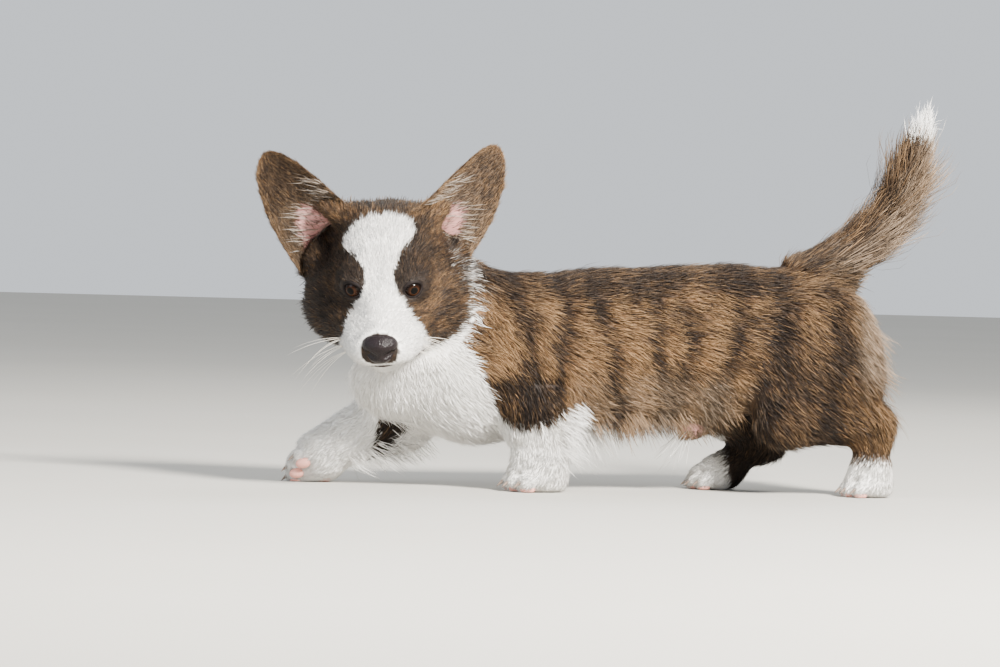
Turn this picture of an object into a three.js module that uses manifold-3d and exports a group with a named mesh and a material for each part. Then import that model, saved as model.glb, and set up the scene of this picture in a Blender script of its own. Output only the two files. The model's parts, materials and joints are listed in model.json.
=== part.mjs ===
// Cardigan Welsh corgi puppy, about ten weeks old, walking with its head turned to the viewer.
// A still, life-size model in millimetres: +X is the way the body heads, +Y is the puppy's left, +Z is up.
// Sizes are taken over the coat, so that the solids give the outline of the living animal.

import * as THREE from "three";
import { mergeVertices } from "three/addons/utils/BufferGeometryUtils.js";
import Module from "manifold-3d";

const wasm = await Module();
wasm.setup();

// Driving dimensions
const GAP = 0.3; // clearance between neighbouring pieces
const WITHERS_HEIGHT = 154;
const CROUP_HEIGHT = 164;
const BRISKET_HEIGHT = 33;
const TRUNK_HALF_WIDTH = 54;
const TRACK = 36; // from the midline to the middle of a paw
const EYE_RADIUS = 8.2;
const EYE_SPACING = 43.5;
const EYE_HEIGHT = 12; // above the middle of the braincase
const EAR_LENGTH = 61;
const EAR_HALF_WIDTH = 28.5;
const EAR_THICKNESS = 2.6;
const NOSE_HALF_WIDTH = 12.8;
const TOES = 4;

const rad = THREE.MathUtils.degToRad;
const vec = (x, y, z) => new THREE.Vector3(x, y, z);
const clamp = THREE.MathUtils.clamp;

// Fields: negative inside the animal, about the distance to its surface

// An egg-shaped mass, tipped by dip (nose down) about Y and turned about Z, in degrees.
function egg(centre, radii, dip = 0, turn = 0) {
  const middle = vec(...centre);
  const back = new THREE.Quaternion().setFromEuler(new THREE.Euler(0, rad(dip), rad(turn), "ZYX")).invert();
  const q = vec(0, 0, 0);
  return (p) => {
    q.copy(p).sub(middle).applyQuaternion(back);
    const k0 = Math.hypot(q.x / radii[0], q.y / radii[1], q.z / radii[2]);
    const k1 = Math.hypot(q.x / radii[0] ** 2, q.y / radii[1] ** 2, q.z / radii[2] ** 2);
    return k1 < 1e-9 ? -Math.min(...radii) : (k0 * (k0 - 1)) / k1;
  };
}

// A limb that tapers from radius ra at a to rb at b.
function limb(a, ra, b, rb) {
  const from = vec(...a);
  const along = vec(...b).sub(from);
  const length2 = along.lengthSq();
  const q = vec(0, 0, 0);
  return (p) => {
    q.copy(p).sub(from);
    const t = clamp(q.dot(along) / length2, 0, 1);
    return q.addScaledVector(along, -t).length() - (ra + (rb - ra) * t);
  };
}

// The union of several masses with a soft fillet between them.
function blend(fillet, ...fields) {
  return (p) =>
    fields
      .map((field) => field(p))
      .reduce((a, b) => {
        const h = Math.max(fillet - Math.abs(a - b), 0) / fillet;
        return Math.min(a, b) - (h * h * fillet) / 4;
      });
}

// Meshes

function geometryFrom(points, faces) {
  const geometry = new THREE.BufferGeometry();
  geometry.setAttribute("position", new THREE.Float32BufferAttribute(points.flatMap((p) => p.toArray()), 3));
  geometry.setIndex(faces.flat());
  return geometry;
}

// Rings of equal count between two poles, as triangles.
function skinOfRings(firstPole, rings, lastPole) {
  const sides = rings[0].length;
  const points = [firstPole, ...rings.flat(), lastPole];
  const at = (ring, side) => 1 + ring * sides + (side % sides);
  const last = points.length - 1;
  const faces = [];
  for (let s = 0; s < sides; s++) {
    faces.push([0, at(0, s + 1), at(0, s)]);
    faces.push([last, at(rings.length - 1, s), at(rings.length - 1, s + 1)]);
    for (let r = 0; r + 1 < rings.length; r++) {
      faces.push([at(r, s), at(r, s + 1), at(r + 1, s + 1)]);
      faces.push([at(r, s), at(r + 1, s + 1), at(r + 1, s)]);
    }
  }
  return geometryFrom(points, faces);
}

// How far a ray from inside a field travels before it leaves it: strides out, then halves back.
function reach(field, from, direction) {
  const STRIDE = 4;
  const HALVINGS = 9;
  const p = vec(0, 0, 0);
  const outside = (r) => field(p.copy(from).addScaledVector(direction, r)) > 0;
  let far = STRIDE;
  while (far < 400 && !outside(far)) far += STRIDE;
  let near = far - STRIDE;
  for (let i = 0; i < HALVINGS; i++) {
    const half = (near + far) / 2;
    if (outside(half)) far = half;
    else near = half;
  }
  return Math.max(near, 0.5);
}

// A closed surface: rays leave a spine and stop where the field ends, with a fan of rays at either end.
function wrap(field, spinePoints, { rings, sides, caps = 3, grow = 0, up = vec(0, 0, 1) }) {
  const spine = new THREE.CatmullRomCurve3(spinePoints.map((p) => vec(...p)));
  const stations = [];
  for (let i = 1; i <= caps; i++) stations.push([0, (Math.PI / 2) * (i / (caps + 1))]);
  for (let i = 0; i < rings; i++) stations.push([i / (rings - 1), Math.PI / 2]);
  for (let i = 1; i <= caps; i++) stations.push([1, (Math.PI / 2) * (1 + i / (caps + 1))]);
  const cast = (t, polar, turn) => {
    const origin = spine.getPointAt(t);
    const tangent = spine.getTangentAt(t);
    const side = vec(0, 0, 0).crossVectors(tangent, up).normalize();
    const top = vec(0, 0, 0).crossVectors(side, tangent);
    const direction = tangent
      .multiplyScalar(-Math.cos(polar))
      .addScaledVector(side, Math.sin(polar) * Math.cos(turn))
      .addScaledVector(top, Math.sin(polar) * Math.sin(turn));
    return origin.addScaledVector(direction, reach(field, origin, direction) + grow);
  };
  const ringList = stations.map(([t, polar]) =>
    Array.from({ length: sides }, (_, s) => cast(t, polar, (2 * Math.PI * s) / sides)),
  );
  return skinOfRings(cast(0, 0, 0), ringList, cast(1, Math.PI, 0));
}

// A tube along points with a radius at each share of its length, closed with a pole at both ends.
function tube(pathPoints, radiusAt, { rings, sides, up = vec(0, 0, 1), flat = 1 }) {
  const path = new THREE.CatmullRomCurve3(pathPoints.map((p) => vec(...p)));
  const ringList = [];
  for (let i = 0; i < rings; i++) {
    const t = i / (rings - 1);
    const tangent = path.getTangentAt(t);
    const side = vec(0, 0, 0).crossVectors(tangent, up).normalize();
    const top = vec(0, 0, 0).crossVectors(side, tangent);
    const r = radiusAt(t);
    const centre = path.getPointAt(t);
    ringList.push(
      Array.from({ length: sides }, (_, s) => {
        const turn = (2 * Math.PI * s) / sides;
        const out = side.clone().multiplyScalar(Math.cos(turn)).addScaledVector(top, flat * Math.sin(turn));
        return centre.clone().addScaledVector(out, r);
      }),
    );
  }
  return skinOfRings(path.getPointAt(0), ringList, path.getPointAt(1));
}

// A ring that closes on itself, such as an eye's lids, from a function that gives its section at each share.
function hoop(sectionAt, steps) {
  const rings = Array.from({ length: steps }, (_, i) => sectionAt(i / steps));
  const sides = rings[0].length;
  const at = (r, s) => (r % steps) * sides + (s % sides);
  const faces = [];
  for (let r = 0; r < steps; r++)
    for (let s = 0; s < sides; s++)
      faces.push([at(r, s), at(r, s + 1), at(r + 1, s + 1)], [at(r, s), at(r + 1, s + 1), at(r + 1, s)]);
  return geometryFrom(rings.flat(), faces);
}

// A thin leaf between an inner and an outer face, each a function of s (root to tip) and a (edge to edge).
function leaf(inner, outer, rows, columns) {
  const grid = (face) =>
    Array.from({ length: rows * columns }, (_, i) =>
      face(Math.floor(i / columns) / (rows - 1), ((i % columns) / (columns - 1)) * 2 - 1),
    );
  const points = [...grid(inner), ...grid(outer)];
  const at = (side, row, column) => side * rows * columns + row * columns + column;
  const faces = [];
  const quad = (a, b, c, d) => faces.push([a, b, c], [a, c, d]);
  for (let r = 0; r + 1 < rows; r++) {
    for (let c = 0; c + 1 < columns; c++) {
      quad(at(0, r, c), at(0, r, c + 1), at(0, r + 1, c + 1), at(0, r + 1, c));
      quad(at(1, r, c), at(1, r + 1, c), at(1, r + 1, c + 1), at(1, r, c + 1));
    }
    quad(at(0, r, 0), at(0, r + 1, 0), at(1, r + 1, 0), at(1, r, 0));
    quad(at(0, r, columns - 1), at(1, r, columns - 1), at(1, r + 1, columns - 1), at(0, r + 1, columns - 1));
  }
  for (let c = 0; c + 1 < columns; c++) {
    quad(at(0, 0, c), at(1, 0, c), at(1, 0, c + 1), at(0, 0, c + 1));
    quad(at(0, rows - 1, c), at(0, rows - 1, c + 1), at(1, rows - 1, c + 1), at(1, rows - 1, c));
  }
  return geometryFrom(points, faces);
}

// Solids

function solid(geometry) {
  const plain = geometry.clone();
  plain.deleteAttribute("normal");
  plain.deleteAttribute("uv");
  const merged = mergeVertices(plain, 1e-4);
  const vertProperties = new Float32Array(merged.attributes.position.array);
  const triVerts = new Uint32Array(merged.index.array);
  let made = new wasm.Manifold(new wasm.Mesh({ numProp: 3, vertProperties, triVerts }));
  if (made.volume() < 0) {
    for (let i = 0; i < triVerts.length; i += 3)
      [triVerts[i + 1], triVerts[i + 2]] = [triVerts[i + 2], triVerts[i + 1]];
    made = new wasm.Manifold(new wasm.Mesh({ numProp: 3, vertProperties, triVerts }));
  }
  return made;
}

const join = (...solids) => solids.reduce((a, b) => a.add(b));
const placed = (geometry, matrix) => solid(geometry.clone().applyMatrix4(matrix));
const bothSides = (make) => [make(1), make(-1)];
const largest = (made) => made.decompose().sort((a, b) => b.volume() - a.volume())[0];

function geometryOf(made) {
  const mesh = made.getMesh();
  const geometry = new THREE.BufferGeometry();
  const positions = new Float32Array(mesh.numVert * 3);
  for (let i = 0; i < mesh.numVert; i++)
    positions.set(mesh.vertProperties.subarray(i * mesh.numProp, i * mesh.numProp + 3), i * 3);
  geometry.setAttribute("position", new THREE.BufferAttribute(positions, 3));
  geometry.setIndex(new THREE.BufferAttribute(new Uint32Array(mesh.triVerts), 1));
  geometry.computeVertexNormals();
  return geometry;
}

// A frame at a point, turned about Z, tipped nose down about Y and rolled about X, in degrees.
function frameAt([x, y, z], turn = 0, dip = 0, roll = 0) {
  const spin = new THREE.Quaternion().setFromEuler(new THREE.Euler(rad(roll), rad(dip), rad(turn), "ZYX"));
  return new THREE.Matrix4().compose(vec(x, y, z), spin, vec(1, 1, 1));
}

// Locks of hair: flat, tapered and bending. They leave the skin steeply, then lie along the coat.

function seeded(seed) {
  const MULTIPLIER = 1664525;
  const INCREMENT = 1013904223;
  const RANGE = 2 ** 32;
  let state = seed;
  return () => {
    state = (state * MULTIPLIER + INCREMENT) % RANGE;
    return state / RANGE;
  };
}

const LOCK_SINK = 4;
const LOCK_THICKNESS = 3.6;
const LOCK_WIDTHS = [[0, 0.7], [0.4, 1], [0.76, 0.7]]; // share of the width at shares of the length
function lock({ root, out, lie, length, width, lift }, grow) {
  const across = vec(0, 0, 0).crossVectors(out, lie).normalize();
  const start = root.clone().addScaledVector(out, -LOCK_SINK);
  const bend = root.clone().addScaledVector(out, lift).addScaledVector(lie, length * 0.35);
  const tip = root.clone().addScaledVector(out, lift).addScaledVector(lie, length + 2 * grow);
  const curve = new THREE.QuadraticBezierCurve3(start, bend, tip);
  const rings = LOCK_WIDTHS.map(([t, share]) => {
    const centre = curve.getPoint(t);
    const normal = vec(0, 0, 0).crossVectors(across, curve.getTangent(t)).normalize();
    const w = (width / 2) * share + grow;
    const h = (LOCK_THICKNESS / 2) * share + grow;
    const corner = (a, b) => centre.clone().addScaledVector(across, a).addScaledVector(normal, b);
    return [corner(w, 0), corner(0, h), corner(-w, 0), corner(0, -h)];
  });
  return solid(skinOfRings(start, rings, tip));
}

// Locks rooted where rays from a point leave a field, their lie bent into the surface by the given share.
function locksOn(field, from, directions, { lie, flat = 1, length, width, lift, seed }, grow) {
  const random = seeded(seed);
  const vary = (value, share) => value * (1 + share * (2 * random() - 1));
  return directions.map((direction) => {
    const out = direction.clone().normalize();
    const root = from(direction).addScaledVector(out, reach(field, from(direction), out));
    const along = vec(...lie).normalize();
    along.addScaledVector(out, -flat * along.dot(out)).normalize();
    const size = { length: vary(length, 0.2), width: vary(width, 0.15), lift: vary(lift, 0.3) };
    return lock({ root, out, lie: along, ...size }, grow);
  });
}

// Directions over a patch: rows by elevation, each row a fan of azimuths, every other row set off by half.
function fan(elevations, azimuths, count) {
  return elevations.flatMap((elevation, row) =>
    Array.from({ length: count }, (_, i) => {
      const share = (i + (row % 2) / 2) / (count - 0.5);
      const azimuth = rad(azimuths[0] + (azimuths[1] - azimuths[0]) * share);
      const up = rad(elevation);
      return vec(Math.cos(up) * Math.cos(azimuth), Math.cos(up) * Math.sin(azimuth), Math.sin(up));
    }),
  );
}

// Trunk and neck

const trunkField = blend(
  26,
  egg([36, 0, (WITHERS_HEIGHT + BRISKET_HEIGHT) / 2 + 2], [88, TRUNK_HALF_WIDTH, 59]),
  egg([-62, 0, 101], [92, 50, 57], 3),
  egg([-140, 0, CROUP_HEIGHT - 50], [60, 48, 48], 8),
  egg([92, -1, 78], [48, 44, 50], -12),
);
const torsoSpine = [[-146, 0, 112], [-60, 0, 102], [30, 0, 95], [92, 0, 86]];
function torso(grow) {
  const FRINGE = { from: -92, to: 26, count: 6, aside: 0.4 };
  const trunk = solid(wrap(trunkField, torsoSpine, { rings: 13, sides: 20, caps: 3, grow }));
  const rows = bothSides((s) =>
    Array.from({ length: FRINGE.count }, (_, i) => {
      const x = FRINGE.from + ((FRINGE.to - FRINGE.from) * (i + (s > 0 ? 0 : 0.5))) / (FRINGE.count - 0.5);
      return { x, direction: vec(0, s * FRINGE.aside, -1) };
    }),
  ).flat();
  const fringe = rows.map(({ x, direction }, i) => {
    const lying = { lie: [-1, 0, -0.35], flat: 0.3, length: 32, width: 20, lift: 3.5, seed: 31 + i };
    return locksOn(trunkField, () => vec(x, 0, 90), [direction], lying, grow);
  });
  return join(trunk, ...fringe.flat());
}

// The neck carries the ruff, a broad bib of white fur down to the breastbone.
const neckField = blend(18, limb([70, 0, 111], 42, [138, -2, 136], 38), egg([129, 2, 80], [53, 38, 37], 12));
function neck(grow) {
  const trunk = solid(wrap(neckField, [[84, 0, 106], [132, 0, 104]], { rings: 5, sides: 18, grow }));
  const directions = fan([-12, -36, -60], [-56, 64], 5);
  const lying = { lie: [-0.25, 0, -1], flat: 0.75, length: 30, width: 23, lift: 4, seed: 5 };
  return join(trunk, ...locksOn(neckField, () => vec(122, 2, 84), directions, lying, grow));
}

// Head, in a frame at the middle of the braincase: x to the nose, y to the puppy's left, z to the poll

const HEAD = frameAt([156, 9, 150], 72.5, 28, 2.5);

const skullField = blend(
  12,
  egg([-3, 0, 4], [51, 43, 44]),
  ...bothSides((s) => egg([10, s * 36, -20], [36, 25, 30], 0, s * -14)),
  ...bothSides((s) => egg([42, s * 21, -19], [30, 17, 19], 0, s * -20)),
  ...bothSides((s) => egg([36, s * 20, 12.5], [14.5, 14, 14])),
  limb([36, 0, 2], 20, [80, 0, -9], 12.5),
  ...bothSides((s) => egg([69, s * 12, -17], [23, 15, 14], 4, s * -8)),
  egg([6, 0, -32], [36, 34, 22]),
);
const skullSpine = [[-12, 0, 0], [14, 0, -4], [44, 0, -7], [74, 0, -12]];

// Eyes: each looks forward and a little outward, and stands just proud of the face.
const EYE_TURN = rad(24);
const EYE_PROUD = 0.6;
const eyeAxis = (s) => vec(Math.cos(EYE_TURN), s * Math.sin(EYE_TURN), 0.05).normalize();
const eyeCentre = (() => {
  const y = EYE_SPACING / 2 - EYE_RADIUS * Math.sin(EYE_TURN);
  let x = 20;
  const front = () => vec(x, y, EYE_HEIGHT).addScaledVector(eyeAxis(1), EYE_RADIUS - EYE_PROUD);
  while (x < 70 && skullField(front()) < 0) x += 0.1;
  return (s) => vec(x, s * y, EYE_HEIGHT);
})();

// The edge of an eye's opening, on a sphere about the eyeball: an almond, its outer corner a little higher.
function lidEdge(s, radius, widen = 0) {
  const HALF_LENGTH = rad(53) + widen;
  const HALF_HEIGHT = rad(43) + widen;
  const forward = eyeAxis(s);
  const across = vec(0, 0, 0).crossVectors(vec(0, 0, s), forward).normalize();
  const above = vec(0, 0, 0).crossVectors(forward, across).multiplyScalar(s);
  return (t) => {
    const turn = 2 * Math.PI * t;
    const a = HALF_LENGTH * Math.cos(turn);
    const b = HALF_HEIGHT * Math.sin(turn) * (1 - 0.2 * Math.cos(turn) ** 2) + 0.12 * Math.max(a, 0);
    const polar = Math.hypot(a, b);
    return eyeCentre(s)
      .addScaledVector(forward, radius * Math.cos(polar))
      .addScaledVector(across, (radius * Math.sin(polar) * a) / polar)
      .addScaledVector(above, (radius * Math.sin(polar) * b) / polar);
  };
}
const eyeball = (s, grow) => {
  const { x, y, z } = eyeCentre(s);
  return new THREE.SphereGeometry(EYE_RADIUS + grow, 12, 9).translate(x, y, z);
};
// Both lids in one: a ridge round the opening, its foot sunk into the face beside the eyeball.
const LID_SECTION = [[-0.15, -1.5], [-0.16, 1.3], [0, 2.3], [0.2, 1.5], [0.26, -4], [0, -4]];
const lids = (s, grow) => {
  const corner = (out, high) => lidEdge(s, EYE_RADIUS + high + grow * Math.sign(high), out);
  return hoop((t) => LID_SECTION.map(([out, high]) => corner(out, high)(t)), 12);
};
// What the lids leave open in front of the eyeball.
const eyeOpening = (s) => {
  const ring = (radius) => Array.from({ length: 12 }, (_, i) => lidEdge(s, radius)(i / 12));
  return skinOfRings(eyeCentre(s), [ring(4), ring(24)], eyeCentre(s).addScaledVector(eyeAxis(s), 24));
};

// The upper lip hangs over the jaw from one corner of the mouth, under the nose, to the other.
const lipPath = (s) => [
  [34, s * 24, -26],
  [52, s * 22, -27],
  [70, s * 17, -26.5],
  [81, s * 8.5, -24.5],
  [82, s * 1, -23],
];
function lips() {
  const path = [...lipPath(1), ...lipPath(-1).reverse()];
  return tube(path, () => 3, { rings: 15, sides: 6 });
}

const head = (grow) => {
  const skull = placed(wrap(skullField, skullSpine, { rings: 13, sides: 24, caps: 4, grow }), HEAD);
  const open = grow > 0 ? skull : skull.subtract(join(...bothSides((s) => placed(eyeOpening(s), HEAD))));
  return join(open, placed(lips(), HEAD), ...bothSides((s) => placed(lids(s, grow), HEAD)));
};

const jawField = blend(
  8,
  limb([26, 0, -31], 21, [52, 0, -31], 17),
  limb([52, 0, -31], 17, [74, 0, -28], 10.5),
);
const lowerJaw = (grow) =>
  placed(wrap(jawField, [[28, 0, -31], [50, 0, -31], [72, 0, -28]], { rings: 8, sides: 18, grow }), HEAD);

// The nose leather: a rounded block, narrower below, with a comma-shaped nostril on each side.
const noseField = blend(
  5,
  egg([86, 0, -9.5], [12, NOSE_HALF_WIDTH, 8.4], -6),
  egg([87, 0, -16.5], [10, NOSE_HALF_WIDTH - 3.4, 6.6]),
);
function nose(grow) {
  const nostril = (s) => {
    const path = [[100.5, s * 3.6, -12.4], [96, s * 5.6, -13], [93.5, s * 9.2, -11.2], [91, s * 13, -10.6]];
    return tube(path, (t) => 2.5 - 1.3 * t, { rings: 5, sides: 6 });
  };
  const round = { rings: 2, sides: 16, caps: 4, grow };
  const block = placed(wrap(noseField, [[83, 0, -12], [89, 0, -12]], round), HEAD);
  if (grow > 0) return block;
  const groove = new THREE.CylinderGeometry(0.7, 0.7, 9, 6).rotateX(Math.PI / 2).translate(98, 0, -19.5);
  return block.subtract(join(...bothSides((s) => placed(nostril(s), HEAD)), placed(groove, HEAD)));
}

// Ears: a leaf that is a half tube at its root and opens out towards a round tip, which curves inward.

// How each ear is carried: how far it leans out, where it is rooted, how its tip bends in, and its turn.
const EAR_POSES = {
  1: { stand: 47, apart: 44.6, inward: 12.5, tip: -14.5, turn: 10.6 },
  [-1]: { stand: 36.3, apart: 51.7, inward: 6.5, tip: 0.8, turn: -8.4 },
};
function ear(side, grow = 0) {
  const ROOT = 14;
  const OUTER_ROOT = 12;
  const DEPTH = 0.6;
  const TAPER = 13.5;
  const BEND_BACK = 9;
  const WRAP_AT_ROOT = 100; // degrees either side of the middle
  const UNWRAP = 72;
  const pose = EAR_POSES[side];
  const place = new THREE.Matrix4()
    .makeTranslation(-12, side * pose.apart, 28)
    .multiply(new THREE.Matrix4().makeRotationX(side * -rad(pose.stand)))
    .multiply(new THREE.Matrix4().makeRotationY(rad(pose.tip)))
    .multiply(new THREE.Matrix4().makeRotationZ(side * rad(pose.turn)));
  const roundTip = (s) => Math.sqrt(1 - (Math.max(s - 0.45, 0) / 0.56) ** 3);
  const halfWidth = (s) => (EAR_HALF_WIDTH - TAPER * s) * roundTip(s);
  const sweep = (s) => rad(WRAP_AT_ROOT - UNWRAP * Math.sqrt(s));
  const face = (off) => (s, a) => {
    const angle = a * sweep(s) * (Math.abs(a) > 0.99 ? 1 + (1.5 * grow) / EAR_HALF_WIDTH : 1);
    const past = s > 0.99 ? grow : s < 0.01 ? -grow : 0;
    const r = halfWidth(s) / Math.sin(Math.min(sweep(s), Math.PI / 2));
    const outer = r + off;
    return vec(
      DEPTH * (r * Math.cos(sweep(s)) - outer * Math.cos(angle)) - BEND_BACK * s * s,
      side * (outer * Math.sin(angle) - pose.inward * s * s),
      -ROOT + past + s * (EAR_LENGTH + ROOT) - OUTER_ROOT * Math.max(a, 0) * (1 - s) ** 2,
    );
  };
  const thin = (s, a) => 1 - 0.55 * Math.max(Math.abs(a), s) ** 4;
  const outerFace = (s, a) => face((EAR_THICKNESS + grow) * thin(s, a))(s, a);
  return leaf(face(-grow), outerFace, 9, 9).applyMatrix4(place);
}

// Legs. A paw's frame has its sole at z = 0, x to the toes and y to the paw's left.

const legPieces = {
  shoulder_left: {
    field: blend(14, egg([66, 30, 97], [31, 25, 34]), limb([60, 32, 76], 24, [54, 34, 55], 23)),
    spine: [[66, 30, 98], [54, 34, 55]],
  },
  forearm_left: { field: limb([54, 34, 55], 23, [51, 36, 12], 17), spine: [[54, 34, 55], [51, 36, 16]] },
  shoulder_right: {
    field: blend(14, egg([88, -31, 84], [36, 26, 32]), limb([104, -33, 74], 27, [134, -37, 49], 25)),
    spine: [[90, -31, 82], [134, -37, 49]],
  },
  forearm_right: {
    field: limb([134, -37, 49], 25, [190, -36, 22], 16),
    spine: [[134, -37, 49], [188, -36, 23]],
  },
  thigh_left: {
    field: blend(
      16,
      egg([-153, 33, 100], [46, 26, 50]),
      egg([-166, 33, 76], [33, 25, 34]),
      limb([-140, 34, 84], 27, [-124, 36, 57], 24),
    ),
    spine: [[-154, 30, 104], [-150, 32, 72]],
  },
  shank_left: {
    field: limb([-134, 37, 58], 24, [-191, 36, 50], 15.5),
    spine: [[-138, 37, 57], [-191, 36, 50]],
  },
  hock_left: {
    field: limb([-191, 36, 50], 15.5, [-191, 36, 10], 14),
    spine: [[-191, 36, 50], [-191, 36, 14]],
  },
  thigh_right: {
    field: blend(16, egg([-142, -33, 100], [48, 26, 48]), limb([-136, -34, 88], 27, [-102, -35, 64], 24)),
    spine: [[-144, -30, 102], [-118, -33, 74]],
  },
  shank_right: {
    field: limb([-96, -36, 60], 21, [-136, -35, 35], 13.5),
    spine: [[-98, -36, 58], [-136, -35, 35]],
  },
  hock_right: {
    field: limb([-136, -35, 35], 13.5, [-100, -34, 13], 12),
    spine: [[-136, -35, 35], [-102, -34, 14]],
  },
};

// The joints where one piece ends flat against the next, each at a point of the limb's middle line.
const joints = [
  { upper: "shoulder_left", lower: "forearm_left", at: [54, 34, 55] },
  { upper: "forearm_left", lower: "forepaw_left", at: [51, 36, 19] },
  { upper: "shoulder_right", lower: "forearm_right", at: [134, -37, 49] },
  { upper: "forearm_right", lower: "forepaw_right", at: [180, -36, 27] },
  { upper: "shank_left", lower: "hock_left", at: [-191, 36, 50] },
  { upper: "hock_left", lower: "hindpaw_left", at: [-191, 36, 17] },
  { upper: "shank_right", lower: "hock_right", at: [-136, -35, 35] },
  { upper: "hock_right", lower: "hindpaw_right", at: [-113, -34, 21] },
];
const heading = (name) => {
  const [from, to] = legPieces[name].spine.map((p) => vec(...p));
  return to.sub(from).normalize();
};
function endAtJoints(made, name, grow) {
  let cut = made;
  for (const { upper, lower, at } of joints) {
    if (name !== upper && name !== lower) continue;
    const down = heading(upper);
    if (legPieces[lower]) down.add(heading(lower)).normalize();
    const level = down.dot(vec(...at));
    if (name === upper) cut = cut.trimByPlane(down.negate().toArray(), -level - grow);
    else cut = cut.trimByPlane(down.toArray(), level + GAP - grow);
  }
  return cut;
}

function leg(name, grow) {
  const { field, spine } = legPieces[name];
  const along = heading(name);
  const up = Math.abs(along.z) > Math.abs(along.x) ? vec(1, 0, 0) : vec(0, 0, 1);
  const whole = solid(wrap(field, spine, { rings: 4, sides: 14, caps: 2, grow, up }));
  const limbSolid = endAtJoints(whole, name, grow);
  return join(limbSolid, ...longHair[name]?.(field, grow) ?? []);
}

// Long hair on the legs: trousers behind each thigh, and the feather behind the outstretched foreleg.
const trousers = (s, seed) => (field, grow) => {
  const directions = fan([22, 0, -22], [180 - s * 62, 180 + s * 12], 3);
  const lying = { lie: [-0.35, 0, -1], flat: 0.85, length: 32, width: 24, lift: 3, seed };
  return locksOn(field, () => vec(-156, s * 30, 88), directions, lying, grow);
};
const longHair = {
  thigh_left: trousers(1, 41),
  thigh_right: trousers(-1, 43),
  forearm_right: (field, grow) =>
    [0.12, 0.32, 0.52, 0.72].flatMap((share, i) => {
      const [from, to] = legPieces.forearm_right.spine.map((p) => vec(...p));
      const start = () => from.clone().lerp(to, share);
      const lying = { lie: [-0.9, 0, -0.5], flat: 0.3, length: 24, width: 14, lift: 3, seed: 61 + i };
      return locksOn(field, start, [vec(-0.5, 0.3, -1), vec(-0.5, -0.5, -1)], lying, grow);
    }),
};

const HIND_SIZE = 0.82; // of a fore paw
const lifted = frameAt([190, -TRACK, 6], -4, 10, 42);
const paws = {
  forepaw_left: { place: frameAt([52, TRACK, 0], 4), size: 1, grip: [-2, 0, 22], wrist: 16.5 },
  forepaw_right: { place: lifted, size: 0.96, grip: [-10, 0, 20], wrist: 15.5 },
  hindpaw_left: { place: frameAt([-189, TRACK, 0], 3), size: HIND_SIZE, grip: [-2, 0, 22], wrist: 14 },
  hindpaw_right: { place: frameAt([-97, 2 - TRACK, 0], -3), size: HIND_SIZE, grip: [-14, 0, 18], wrist: 12 },
};
function paw(name, grow) {
  const { place, size, grip, wrist } = paws[name];
  const body = blend(
    10,
    limb([-6, 0, 12], 15, [8, 0, 10], 13.5),
    egg([8, 0, 9], [13, 20, 9]),
    limb(grip, wrist / size, [-4, 0, 13], 15),
  );
  const round = { rings: 3, sides: 12, caps: 2, grow, up: vec(0, 1, 0) };
  const pieces = [wrap(body, [grip, [-2, 0, 14], [8, 0, 10]], round)];
  for (let toe = 0; toe < TOES; toe++) {
    const share = toe - (TOES - 1) / 2;
    const reachOut = Math.abs(share) < 1 ? 17.5 : 13;
    const root = [4, share * 7.5, 11];
    const tip = [reachOut, share * 10.4, 6.4];
    pieces.push(wrap(limb(root, 7, tip, 7.2), [root, tip], { rings: 2, sides: 6, caps: 1, grow }));
    const claw = [tip[0] + 4, tip[1] * 1.04, 8.5];
    const end = [tip[0] + 11, tip[1] * 1.1, 3];
    const knuckle = [tip[0] + 9, tip[1] * 1.08, 7];
    pieces.push(tube([claw, knuckle, end], (t) => (1 - t) * 2 + 0.4 + grow, { rings: 3, sides: 4 }));
  }
  pieces.forEach((piece) => piece.scale(size, size, size));
  return endAtJoints(join(...pieces.map((piece) => placed(piece, place))), name, grow);
}

// Tail: the outline of the brush, divided into a root, a brush and a white tip

const tailPath = [
  [-136, 0, 139],
  [-160, 0, 155],
  [-181, 0, 169],
  [-205, 1, 191],
  [-219.5, 2, 217],
  [-226.6, 3, 238],
  [-233, 4, 260],
  [-240, 5, 283],
];
const BRUSH_RADIUS = 20.5;
const TAPER_FROM = 0.66; // the share of the tail's length where the brush begins to narrow
const tailOutline = (t) => {
  const dip = 1.5 * Math.sin(Math.PI * clamp(t * 1.8, 0, 1));
  const swell = Math.sin(Math.PI * clamp(t * 1.4 - 0.35, 0, 1));
  return BRUSH_RADIUS + swell - dip - 20 * clamp((t - TAPER_FROM) / (1 - TAPER_FROM), 0, 1) ** 1.5;
};
const tailCurve = new THREE.CatmullRomCurve3(tailPath.map((p) => vec(...p)));
const TIP_SHARE = 0.74; // where the white tip begins
const coreShare = (t) => 0.5 + 0.5 * clamp(1 - t / 0.35, 0, 1);
const tailCore = (t) => Math.max(tailOutline(t) * coreShare(t), 1);

const BRUSH_LOCK_WIDTH = 19;
function brush(stations, around, length, seed, grow) {
  const random = seeded(seed);
  return stations.flatMap((t, row) =>
    Array.from({ length: around }, (_, i) => {
      const lie = tailCurve.getTangentAt(t);
      const side = vec(0, 0, 0).crossVectors(lie, vec(1, 0, 0)).normalize();
      const out = vec(0, 0, 0).crossVectors(side, lie);
      out.applyAxisAngle(lie, (2 * Math.PI * (i + (row % 2) / 2 + 0.2 * random())) / around);
      const root = tailCurve.getPointAt(t).addScaledVector(out, tailCore(t));
      const along = length * (0.9 + 0.25 * random());
      const tipAt = clamp(t + along / tailCurve.getLength(), 0, 1);
      const lift = Math.max(1.25 * tailOutline(tipAt) - tailCore(t), 2);
      lie.copy(tailCurve.getPointAt(tipAt)).sub(tailCurve.getPointAt(t)).normalize();
      return lock({ root, out, lie, length: along, width: BRUSH_LOCK_WIDTH, lift }, grow);
    }),
  );
}
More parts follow.
